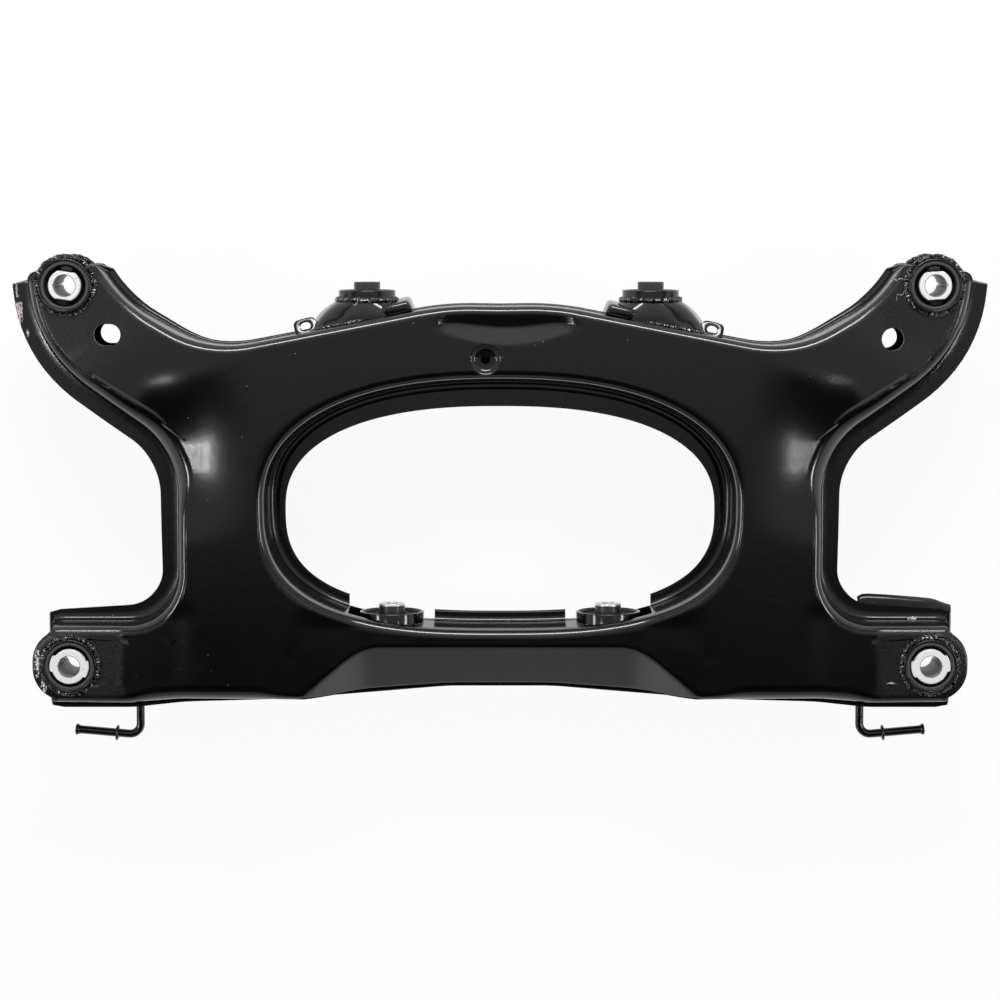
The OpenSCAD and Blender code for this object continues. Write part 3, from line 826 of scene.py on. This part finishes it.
def four_places(x, front, rear):
    """Left and right places at the front and at the rear, by name."""
    ends = (("front", front), ("rear", rear))
    return {end + "_" + hand: (side * x, y) for end, y in ends for hand, side in HANDS}


THROUGH = (-80.0, 120.0)
HOUSING_R = 30.0
DIFF_Z = 8.0
# Across, front end, diameter and length of each housing
DIFFS = {
    "front_left": (-150.0, 208.0, 64.0, 62.0),
    "front_right": (170.0, 208.0, 64.0, 62.0),
    "rear_left": (-123.0, -157.0, 73.0, 38.0),
    "rear_right": (123.0, -157.0, 73.0, 38.0),
}
MOUNTS = four_places(MOUNT_X, MOUNT_Y, -MOUNT_Y)


def shift(x, y, z):
    return Matrix.Translation((x * MM, y * MM, z * MM))


def along_y(x, y, z):
    return shift(x, y, z) @ Matrix.Rotation(-math.pi / 2, 4, "X")


def gathered(forms):
    """Several loose forms as one."""
    whole = bmesh.new()
    for form in forms:
        mesh = bpy.data.meshes.new("part")
        form.to_mesh(mesh)
        form.free()
        whole.from_mesh(mesh)
        bpy.data.meshes.remove(mesh)
    return whole


def slot_drum(length, width, low, high):
    half = (length - width) / 2

    def place(row, i):
        a = FULL_TURN * i / 64
        side = half if math.cos(a) > 0 else -half
        return (side + width / 2 * math.cos(a), width / 2 * math.sin(a), (low, high)[row])

    form = loft(64, 2, place)
    bmesh.ops.holes_fill(form, edges=form.edges)
    return form


def piercings():
    """Round holes that go through both sheets."""
    forms = [put(drum(HOUSING_R, *THROUGH, 96), shift(x, y, 0)) for x, y in MOUNTS.values()]
    for x, y, wide, long in DIFFS.values():
        forms.append(put(drum(wide / 2, -long, 40, 96), along_y(x, y, DIFF_Z)))
    forms.append(put(drum(12.5, *THROUGH), shift(MOUNT_X - 46, MOUNT_Y - 60, 0)))
    forms.append(put(slot_drum(30.0, 24.0, *THROUGH), shift(46 - MOUNT_X, MOUNT_Y - 55, 0)))
    return forms


def lip_notches():
    """The lip is cut away where the rear housings stand in it."""
    forms = []
    for x, y, wide, long in DIFFS.values():
        if y < 0:
            notch = bmesh.new()
            bmesh.ops.create_cube(notch, size=1.0)
            bmesh.ops.scale(notch, vec=((wide + 24) * MM, 80 * MM, 80 * MM), verts=notch.verts)
            forms.append(put(notch, shift(x, y + 30, 0)))
    return forms


def pierced(piece, *batches):
    """Thickens a sheet, then takes each batch of forms away from it."""
    thicken(piece, SHEET)
    cutters = [take_away(piece, tidy(gathered(forms))) for forms in batches]
    return baked(piece, *cutters)


# %% Upper pressing
DISH_R = 17.4
DISH_SPOT = (-16.0, FRONT_Y - 53.0, 0.0)
vent = put(drum(DISH_R, 0, 120, 96), shift(*DISH_SPOT))
upper_shell = pressing("upper_pressing", upper_height, 44, None, 1)
fit(pierced(upper_shell, piercings() + [vent], lip_notches()), "black_paint", "upper_shell")

# %% Dish in the front crossmember
DISH_TOP = [(DISH_R, FACE_H), (16.7, 63.9), (15.8, 63.4), (14.6, 62.2), (13.4, 60.9), (12.0, 60.0)]
DISH_TOP += [(10.4, 59.6), (5.6, 59.4), (5.0, 58.8)]
DISH_UNDER = [(5.0, 57.0), (10.8, 57.0), (13.6, 58.2), (15.4, 60.0), (DISH_R, FACE_H - SHEET)]
dish = put(tidy(turn(DISH_TOP + DISH_UNDER, 96)), shift(*DISH_SPOT))
fit(as_object("front_dish", dish, plain_paint), "black_paint")

# %% Lower pressing
ROD_R = 4.75
ROD_X = 413.0
ROD_Z = -13.0
POINT_REAR = Matrix.Rotation(math.pi / 2, 4, "X")
rod_spots = [shift(side * ROD_X, -180, ROD_Z) for hand, side in HANDS]
rod_holes = [put(drum(ROD_R, 0, 120, 32), spot @ POINT_REAR) for spot in rod_spots]
lower_shell = pressing("lower_pressing", lower_height, 24, clear_oval, -1)
fit(pierced(lower_shell, piercings() + rod_holes, lip_notches()), "black_paint", "lower_shell")

# %% [markdown]
# ## Corner bushes
# Each corner holds a painted housing, a grey ring pressed into it, rubber bonded inside and a
# light alloy core. Housing and ring are lathe work, so they are spun. The rubber and the core are
# not round, so they are lofted with a radius that changes with the angle.

# %% Housings and rings of the corners
RING_R = 27.5
RUBBER_R = 23.5


def tube(outer, inner, low, high, edge):
    profile = [(inner, low), (outer, low), (outer, high), (inner, high)]
    return ease_edges(tidy(turn(profile, 96)), edge)


for corner, (x, y) in MOUNTS.items():
    housing = put(tube(HOUSING_R, RING_R, -22, 58, 0.7), shift(x, y, 0))
    fit(as_object("corner_housing_" + corner, housing, plain_paint), "black_paint", "body_housing_" + corner)
    band = put(tube(RING_R, RUBBER_R, -21, 57, 1.0), shift(x, y, 0))
    fit(as_object("corner_ring_" + corner, band, bush_ring), "bush_ring", "body_ring_" + corner)


# %% Cores of the corners
CORE_LOW = -24.0
CORE_TOP = 60.0
CORE_EDGE = 0.8


def front_core_radius(a):
    """Round, with a flat ahead and behind."""
    across = abs(math.sin(a))
    return min(18.0, 15.5 / across) if across > 0.01 else 18.0


def rear_core_radius(a):
    """Round, with a broad tab at each side."""
    reach = math.radians(27.0)
    tab = smooth((reach - abs(math.atan2(math.sin(a), math.cos(a)))) / 0.06)
    other = smooth((reach - abs(math.atan2(-math.sin(a), -math.cos(a)))) / 0.06)
    return 19.5 + 2.5 * max(tab, other)


def bore_radius(a, outward):
    """Round, with a groove on the outward side."""
    groove = math.atan2(math.sin(a - outward), math.cos(a - outward))
    return 12.0 + 1.6 * smooth((0.16 - abs(groove)) / 0.1)


def core(radius, outward):
    """A cast core: a ring whose outer form and bore both change with the angle."""
    rim = CORE_TOP - CORE_EDGE
    outside = [(0, CORE_LOW, 0), (0, rim, 0), (-CORE_EDGE, CORE_TOP, 0)]
    inside_bore = [(CORE_EDGE, CORE_TOP, 1), (0, rim, 1), (0, CORE_LOW, 1)]
    profile = outside + inside_bore + outside[:1]

    def place(row, i):
        a = FULL_TURN * i / 180
        shift_by, z, inside = profile[row]
        r = (bore_radius(a, outward) if inside else radius(a)) + shift_by
        return polar(r, a, z)

    return tidy(loft(180, len(profile), place))


# Degrees that each bush is turned in its housing
TURNS = {"front_left": -8.0, "front_right": 4.0, "rear_left": -10.0, "rear_right": 10.0}
for corner, (x, y) in MOUNTS.items():
    radius = front_core_radius if y > 0 else rear_core_radius
    spin_by = math.radians(TURNS[corner])
    outward = (math.pi if x < 0 else 0.0) - spin_by
    form = put(core(radius, outward), shift(x, y, 0) @ Matrix.Rotation(spin_by, 4, "Z"))
    fit(as_object("corner_core_" + corner, form, core_alloy), "core_alloy", "body_core_" + corner)


# %% Rubber of the corners
def rubber_body(radius, lugs):
    """Rubber between ring and core, dished, with a bump lug ahead of and behind a front core."""
    shares = [0.0, 0.12, 0.3, 0.5, 0.7, 0.88, 1.0]
    rows = [(share, 1) for share in shares] + [(share, -1) for share in reversed(shares)] + [(0.0, 1)]

    def place(row, i):
        a = FULL_TURN * i / 120
        share, top = rows[row]
        r = RUBBER_R + (radius(a) - RUBBER_R) * share
        dish = 8.0 * math.sin(math.pi * share) ** 0.7
        lug = smooth((0.42 - abs(abs(math.sin(a)) - 1.0) * 4.0) / 0.3) if lugs else 0.0
        dish = dish - lug * 13.0 * math.sin(math.pi * share)
        z = 51.0 - dish if top > 0 else dish - 14.0
        return polar(r, a, z)

    return tidy(loft(120, len(rows), place))


for corner, (x, y) in MOUNTS.items():
    radius = front_core_radius if y > 0 else rear_core_radius
    spin_by = math.radians(TURNS[corner])
    form = put(rubber_body(radius, y > 0), shift(x, y, 0) @ Matrix.Rotation(spin_by, 4, "Z"))
    fit(as_object("corner_rubber_" + corner, form, bush_rubber), "bush_rubber", "body_rubber_" + corner)

# %% [markdown]
# ## Differential bushes
# Four smaller bushes lie along the vehicle, two in each crossmember. All four parts of one are
# round, so they are spun, with their edges eased, and laid down along Y.

# %% Bushes in the crossmembers
SLEEVE_R = 14.75
SLEEVE_BORE = 7.25
HOUSING_T = 3.0
RING_T = 2.5


def dished_rubber(outer, inner, low, high):
    mid = (outer + inner) / 2
    back = [(inner, low), (mid, low + 5), (outer, low)]
    front = [(outer, high), (mid, high - 5), (inner, high)]
    return tidy(turn(back + front))


for place_name, (x, y, wide, long) in DIFFS.items():
    lay = along_y(x, y, DIFF_Z)
    outer = wide / 2
    middle = outer - HOUSING_T
    inner = middle - RING_T
    steel = dark_sleeve if y > 0 else sleeve_steel
    parts = [
        ("housing", tube(outer, middle, -long, 0, 0.9), plain_paint, "black_paint"),
        ("ring", tube(middle, inner, 2 - long, -1, 0.6), dark_ring, "bush_ring"),
        ("rubber", dished_rubber(inner, SLEEVE_R, 6 - long, -4), bush_rubber, "bush_rubber"),
        ("core", tube(SLEEVE_R, SLEEVE_BORE, -long - 2, 9, 0.6), steel, "sleeve_steel"),
    ]
    for part, form, finish, slot in parts:
        name = part + "_" + place_name
        fit(as_object("diff_" + name, put(form, lay), finish), slot, "diff_" + name)

# %% [markdown]
# ## Saddles
# A front differential housing stands clear of the crossmember in a pressed saddle: a cup that
# grips the housing and spreads to a wide foot on the slanting front edge. The cup is lofted from
# the round neck to the foot, and an ear with a hole is folded out at its outer end.

# %% Saddle brackets
EDGE_OUT = (FACE_H - SHEET) * math.tan(DRAFT * 0.2) + 1.9
EDGE_START = Vector(CORNERS[1][:2])
EDGE_WAY = (Vector(CORNERS[2][:2]) - EDGE_START).normalized()
EDGE_LEAN = math.radians(14.0)
NECK_R = 32.2
NECK_Y = 197.0


def front_edge(x):
    """Where the flange's edge runs along the front crossmember."""
    on_line = EDGE_START + EDGE_WAY * ((abs(x) - EDGE_START.x) / EDGE_WAY.x)
    return on_line.y + EDGE_OUT / EDGE_WAY.x


def saddle(axis_x, side):
    """The cup of one saddle, from the neck at the housing to the foot on the edge."""
    shares = [0.0, 0.02, 0.06, 0.12, 0.2, 0.3, 0.42, 0.55, 0.7, 0.85, 1.0]

    def place(row, i):
        a = FULL_TURN * i / 96
        t = shares[row]
        wide = 60.0 if math.cos(a) * side > 0 else 44.0
        foot_u = wide * power(math.cos(a), 4.5)
        foot_w = 37.0 * power(math.sin(a), 4.5)
        spread = 0.5 * smooth(t * 1.25) ** 0.6 + 0.5 * min(1.0, t * 1.3)
        u = NECK_R * math.cos(a) * (1 - spread) + foot_u * spread
        w = NECK_R * math.sin(a) * (1 - spread) + foot_w * spread
        foot_y = front_edge(axis_x + u) - 9.0 * smooth((DIFF_Z + w) / 20.0)
        dent = 3.5 * math.exp(-((u * side - 34.0) / 9.0) ** 2) * math.exp(-((t - 0.45) / 0.2) ** 2)
        y = NECK_Y + (foot_y - NECK_Y) * t ** 1.15
        return (axis_x + u, y, DIFF_Z + w - math.copysign(dent, w))

    return tidy(loft(96, len(shares), place))


def ear(axis_x, side):
    """A folded tab with a hole: a ring whose outer form is a rounded oblong."""
    profile = [(0, 0), (0, 1), (1, 1), (1, 0), (0, 0)]

    def place(row, i):
        a = FULL_TURN * i / 48
        outer, top = profile[row]
        u = 13.0 * power(math.cos(a), 3.5) if outer else 6.0 * math.cos(a)
        v = 9.5 * power(math.sin(a), 3.5) if outer else 5.2 * math.sin(a)
        return (u, v, 1.5 if top else -1.5)

    form = ease_edges(tidy(loft(48, len(profile), place)), 0.6, 2)
    x = axis_x + side * 69.0
    tip = Matrix.Rotation(math.radians(-25.0), 4, "X")
    return put(form, shift(x, front_edge(x) + 4.0, 20.0) @ Matrix.Rotation(-side * EDGE_LEAN, 4, "Z") @ tip)


def fold(axis_x, side):
    """The folded inner corner of a saddle, rounded and leaning."""
    form = bmesh.new()
    bmesh.ops.create_cube(form, size=1.0)
    bmesh.ops.scale(form, vec=(37 * MM, 21 * MM, 44 * MM), verts=form.verts)
    top = [v for v in form.verts if v.co.z > 0]
    bmesh.ops.scale(form, vec=(0.86, 0.62, 1.0), verts=top)
    front = [v for v in form.verts if v.co.y > 0]
    bmesh.ops.translate(form, vec=(side * 3 * MM, 0, 0), verts=front)
    ease_edges(form, 4.5, 4)
    x = axis_x - side * 36.0
    return put(form, shift(x, front_edge(x) + 4.0, 24.0) @ Matrix.Rotation(-side * EDGE_LEAN, 4, "Z"))


def seam(axis_x, side):
    """The weld along a saddle's foot, a lumpy roll on the crossmember's wall."""
    count = 60

    def place(row, i):
        t = row / count
        x = axis_x + side * (57.0 - 64.0 * t)
        stir = noise.noise(Vector((x * 0.35, i * 0.9, side * 3.0)))
        b = FULL_TURN * i / 8
        r = (2.2 + 1.2 * stir) * min(1.0, 12 * t, 12 * (1 - t)) + 0.05
        return (x, front_edge(x) - 1.0 + r * math.cos(b), 45.5 + r * math.sin(b))

    form = loft(8, count + 1, place)
    bmesh.ops.holes_fill(form, edges=form.edges)
    return tidy(form)


SADDLE_PARTS = (("ear", ear, plain_paint), ("fold", fold, plain_paint), ("weld", seam, weld_paint))
for hand, side in HANDS:
    axis_x = DIFFS["front_" + hand][0]
    cup = as_object("saddle_" + hand, saddle(axis_x, side), plain_paint)
    thicken(cup, 3.0)
    fit(baked(cup), "black_paint", "saddle_" + hand)
    for part, shape, finish in SADDLE_PARTS:
        fit(as_object("saddle_" + part + "_" + hand, shape(axis_x, side), finish), "black_paint")

# %% [markdown]
# ## Lip of the right arm
# Under the right arm's flange a strip of the lower sheet stands out, with its edge bent down. It
# follows a few listed points: a small section is lofted along them, and its ends are closed.

# %% Arm lip
LIP_EDGE = [(408, -142), (413, -139), (420, -138.5), (440, -139.5), (460, -141), (478, -142.5), (492, -144)]
LIP_EDGE += [(498, -145.5), (504, -148), (510, -150), (515, -151.5)]
LIP_FORM = [(-30, -0.4), (-6, -0.4), (-4.4, -0.7), (-3.0, -1.6), (-0.6, -4.0), (0, -5.0)]
LIP_FORM += [(-1.6, -6.0), (-4.6, -3.0), (-6, -2.4), (-30, -2.4)]


def arm_lip():
    def place(row, i):
        x, y = LIP_EDGE[row]
        back, z = LIP_FORM[i]
        return (x, y + back, z)

    form = loft(len(LIP_FORM), len(LIP_EDGE), place)
    bmesh.ops.holes_fill(form, edges=form.edges)
    return ease_edges(tidy(form), 0.4, 2, 60.0)


fit(as_object("arm_lip_right", arm_lip(), plain_paint), "black_paint")

# %% [markdown]
# ## Exhaust hangers
# Two bent rods come out of the rear wall and turn outwards, each with a collar and a mushroom
# head that hold a rubber loop. A rod is a small circle that follows a path, with its radius
# growing at the collar and the head.

# %% Hanger rods
ROD_BACK = 302.0
ROD_BEND = 12.0
ROD_RISE = math.radians(5.0)


def hanger_rows(side):
    """Centre, heading and radius of each ring along a rod."""
    rows = []
    down = Vector((0.0, -1.0))
    for y in (-236.0, -250.0, -265.0, -280.0):
        rows.append((Vector((ROD_X, y)), down, ROD_R))
    middle = Vector((ROD_X + ROD_BEND, ROD_BEND - ROD_BACK))
    for a in steps_between(math.pi, 1.5 * math.pi + ROD_RISE, 14):
        spot = middle + Vector((math.cos(a), math.sin(a))) * ROD_BEND
        rows.append((spot, Vector((-math.sin(a), math.cos(a))), ROD_R))
    start, head, _ = rows[-1]
    collar = [(11.8, 6.0), (12.6, 8.4), (13.4, 9.0), (14.2, 9.0), (15.0, 8.4), (15.8, 6.0)]
    end = [(57.0, 4.9), (58.2, 5.8), (59.0, 6.4), (60.4, 6.5), (61.4, 6.0), (62.0, 4.8), (62.0, 0.4)]
    before = [(along, ROD_R) for along in (10, 11.4)]
    after = [(along, ROD_R) for along in (16.2, 30, 45, 55)]
    for along, r in before + collar + after + end:
        rows.append((start + head * along, head, r))
    return [(Vector((c.x * side, c.y)), Vector((h.x * side, h.y)), r) for c, h, r in rows]


def hanger(side):
    rows = hanger_rows(side)

    def place(row, i):
        centre, head, r = rows[row]
        a = FULL_TURN * i / 28
        across = left_of(head) * (r * math.cos(a))
        return (centre.x + across.x, centre.y + across.y, ROD_Z + r * math.sin(a))

    form = loft(28, len(rows), place)
    bmesh.ops.holes_fill(form, edges=form.edges)
    return tidy(form)


for hand, side in HANDS:
    fit(as_object("hanger_" + hand, hanger(side), plain_paint), "black_paint", "hanger_" + hand)

# %% [markdown]
# ## Link brackets
# Under each leg hangs a bracket for a suspension link: one strip bent to a U, its two ears
# rounded and pierced for the bolt, with a weld nut behind. The strip starts as a flat grid, which
# is wrapped round the U, thickened, pierced and eased.

# %% Brackets and nuts
LINK_X = 256.0
LINK_FRONT = 88.0
LINK_REAR = -192.0
LINK_GAP = 52.0
LINK_T = 4.0
LINK_DROP = 32.0
LINK_R = 22.0
LINK_BORE = 12.5
NUT_R = 10.94
LINK_BEND = 5.0
LINKS = four_places(LINK_X, LINK_FRONT, LINK_REAR)


def round_the_u(s):
    """Place and depth at a length s along the outside of the U, from its middle."""
    half = LINK_GAP / 2 + LINK_T
    flat = half - LINK_BEND
    arc = LINK_BEND * math.pi / 2
    if s <= flat:
        return s, 0.0
    if s <= flat + arc:
        a = (s - flat) / LINK_BEND
        return flat + LINK_BEND * math.sin(a), LINK_BEND * (math.cos(a) - 1.0)
    return half, -LINK_BEND - (s - flat - arc)


def link_strip():
    half = LINK_GAP / 2 + LINK_T
    to_axis = half - LINK_BEND + LINK_BEND * math.pi / 2 + LINK_DROP - LINK_BEND
    total = to_axis + LINK_R
    form = bmesh.new()
    bmesh.ops.create_grid(form, x_segments=16, y_segments=120, size=1.0)
    for vert in form.verts:
        s = abs(vert.co.y) * total
        past = max(0.0, s - to_axis)
        wide = math.sqrt(max(0.3, LINK_R * LINK_R - past * past))
        y, z = round_the_u(s)
        vert.co = Vector((vert.co.x * wide, math.copysign(y, vert.co.y), z)) * MM
    return tidy(form)


def link_bracket(name, x, y):
    made = as_object(name, link_strip(), plain_paint)
    face_up(made, 1)
    thicken(made, LINK_T)
    bolt = drum(LINK_BORE / 2, -60, 60, 48)
    cutter = take_away(made, put(bolt, along_y(0, 0, -LINK_DROP)))
    ease = made.modifiers.new("edges", "BEVEL")
    ease.width = 0.6 * MM
    ease.segments = 2
    baked(made, cutter)
    made.data.transform(shift(x, y, -FLOOR_D))
    return made


for place_name, (x, y) in LINKS.items():
    fit(link_bracket("link_bracket_" + place_name, x, y), "black_paint", "link_bracket_" + place_name)


def weld_nut(x, y):
    """A six-sided nut with a chamfered crown."""
    outside = [(0.62, 0.0), (1.0, 0.0), (1.0, 8.8), (0.9, 10.6)]
    bore = [(0.62, 10.6), (0.57, 10.0), (0.57, 0.6), (0.62, 0.0)]
    profile = outside + bore

    def place(row, i):
        a = FULL_TURN * i / 72
        share, z = profile[row]
        corner = math.cos(math.pi / 6) / math.cos((a % (math.pi / 3)) - math.pi / 6)
        r = NUT_R * (share * corner if share > 0.95 else share)
        return polar(r, a, z)

    form = tidy(loft(72, len(profile), place))
    return put(form, shift(x, y - LINK_GAP / 2 - LINK_T, -FLOOR_D - LINK_DROP) @ POINT_REAR)


nuts = gathered([weld_nut(x, y) for x, y in LINKS.values()])
fit(as_object("link_weld_nuts", nuts, plain_paint), "black_paint", "link_nuts")

# %% [markdown]
# ## Weld beads
# Robot welds run round every housing. A bead is a low, rippled roll of metal in a corner, so it
# is a small closed loop carried round a ring, with its height stirred by noise. The paint over it
# is lumpy and glints, and its pale flecks are partly weld spatter and partly painted glints.

# %% Beads round the housings
def bead(radius, high, wide, tall, seed):
    """A rippled roll round a housing, with its middle at a radius and a height."""
    count = 200

    def place(row, i):
        a = FULL_TURN * (i / count)
        stir = noise.noise(Vector((math.cos(a) * 6.0, math.sin(a) * 6.0, seed)))
        lumps = noise.noise(Vector((math.cos(a) * 22.0, math.sin(a) * 22.0, seed + row * 1.7)))
        ripple = 0.45 * math.sin(a * 70.0 + 3.0 * stir) + 0.9 * stir + 1.1 * lumps
        b = FULL_TURN * row / 8
        r = radius + (wide + 0.5 * ripple) * math.cos(b) + 0.6 * stir
        return polar(r, a, high + (tall + ripple) * math.sin(b))

    return tidy(loft(count, 9, place))


for number, (corner, (x, y)) in enumerate(MOUNTS.items()):
    form = put(bead(31.8, PAD_H + 0.3, 3.4, 2.8, number * 7.0), shift(x, y, 0))
    under = put(bead(31.2, -PAD_D - 0.3, 3.0, 2.4, number * 7.0 + 3.0), shift(x, y, 0))
    fit(as_object("corner_weld_" + corner, gathered([form, under]), weld_paint), "black_paint")
for number, (place_name, (x, y, wide, long)) in enumerate(DIFFS.items()):
    deep = -11.0 if y > 0 else -15.0
    form = put(bead(wide / 2 + 1.4, deep, 2.4, 3.0, 40.0 + number * 5.0), along_y(x, y, DIFF_Z))
    fit(as_object("diff_weld_" + place_name, form, weld_paint), "black_paint")

# %% [markdown]
# ## Camera, floor and light
# The photograph looks almost straight down at the part, so the camera hangs above it with a long
# lens. Two small round lamps hang beside the camera and leave a soft patch on each leg, two long
# ones stand farther out and a strip stands ahead: they make the white lines along the bends. The
# floor and the world are white to the eye, and the floor still takes the part's shadow.

# %% Camera
camera = bpy.data.objects.new("camera", bpy.data.cameras.new("camera"))
bpy.context.scene.collection.objects.link(camera)
camera.location = (0.0, 0.310, 3.642)
aim = Vector((0.0, -0.025, FACE_H * MM)) - camera.location
camera.rotation_euler = (math.atan2(aim.y, -aim.z), 0.0, 0.0)
camera.data.sensor_width = 36.0
camera.data.lens = 115.7
camera.data.clip_end = 50.0
bpy.context.scene.camera = camera
print("camera looks down", round(math.degrees(math.atan2(-aim.z, aim.xy.length)), 1), "degrees")


# %% Floor
def seen_directly(tree):
    """1 for rays that come from the camera, a reflection or clear glass."""
    path = tree.nodes.new("ShaderNodeLightPath")
    eye = Wire(tree, path.outputs["Is Camera Ray"])
    glossy = Wire(tree, path.outputs["Is Glossy Ray"])
    through = Wire(tree, path.outputs["Is Transmission Ray"])
    return (eye + glossy + through).clipped()


def floor_material():
    made = Finish("pale_floor")
    tree = made.tree
    made.set(Base_Color=(0.95, 0.95, 0.95, 1.0), Roughness=0.9)
    glow = tree.nodes.new("ShaderNodeEmission")
    glow.inputs["Color"].default_value = (1.0, 1.0, 1.0, 1.0)
    glow.inputs["Strength"].default_value = 1.0
    mix = tree.nodes.new("ShaderNodeMixShader")
    tree.links.new((seen_directly(tree) * 0.93).socket, mix.inputs[0])
    tree.links.new(made.shader.outputs[0], mix.inputs[1])
    tree.links.new(glow.outputs[0], mix.inputs[2])
    tree.links.new(mix.outputs[0], tree.nodes["Material Output"].inputs["Surface"])
    return made.material


FLOOR_Z = -0.1015
floor_form = bmesh.new()
bmesh.ops.create_grid(floor_form, x_segments=1, y_segments=1, size=12.0)
put(floor_form, Matrix.Translation((0, 0, FLOOR_Z)))
floor = as_object("floor", floor_form, floor_material())
print("floor at", round(floor.data.vertices[0].co.z, 4))


# %% World and lamps
SOFT_FILL = 0.33
# Name, place, width and length, radiance and shape
LAMPS = [
    ("key_left", (-1.40, -0.22, 3.3), (0.13, 0.08), 85.0, "ELLIPSE"),
    ("key_right", (1.40, -0.22, 3.3), (0.11, 0.08), 50.0, "ELLIPSE"),
    ("rim_left", (-3.2, -0.25, 2.6), (1.2, 0.3), 26.0, "RECTANGLE"),
    ("rim_right", (3.2, -0.25, 2.6), (1.2, 0.3), 26.0, "RECTANGLE"),
    ("strip_ahead", (0.0, 2.6, 2.0), (2.2, 0.6), 24.0, "RECTANGLE"),
]


def soft_box(name, place, size, radiance, shape):
    """A lamp that looks at the middle of the part."""
    lamp = bpy.data.lights.new(name, "AREA")
    lamp.shape = shape
    lamp.size = size[0]
    lamp.size_y = size[1]
    lamp.energy = radiance * math.pi * size[0] * size[1]
    made = bpy.data.objects.new(name, lamp)
    bpy.context.scene.collection.objects.link(made)
    made.location = place
    made.rotation_euler = (-Vector(place)).to_track_quat("-Z", "Y").to_euler()


def studio_world():
    """White low down, dimmer behind, dark overhead, and a grey ceiling ahead of the camera."""
    world = bpy.data.worlds.new("studio")
    world.use_nodes = True
    bpy.context.scene.world = world
    tree = world.node_tree
    sky = tree.nodes["Background"]
    place = Wire(tree, tree.nodes.new("ShaderNodeTexCoord").outputs["Generated"])
    path = tree.nodes.new("ShaderNodeLightPath")
    eye = Wire(tree, path.outputs["Is Camera Ray"])
    height = place.part(2)
    ahead = place.part(1)
    ceiling = ahead.above(-0.125, -0.05) * height.above(0.5, 0.8)
    behind = (0.0 - ahead).above(0.5, 0.9) * 0.42
    tone = 1.0 - behind - height.above(0.25, 0.62) * (0.985 - behind)
    tone = tone + ceiling * (0.45 + ahead.above(0.15, 0.5) * 0.6)
    seen = seen_directly(tree)
    bright = (eye + tone * (1.0 - eye)) * seen + (1.0 - seen) * SOFT_FILL
    tree.links.new(bright.socket, sky.inputs["Strength"])
    sky.inputs["Color"].default_value = (1.0, 1.0, 1.0, 1.0)


studio_world()
for lamp in LAMPS:
    soft_box(*lamp)
scene = bpy.context.scene
scene.view_settings.view_transform = "Standard"
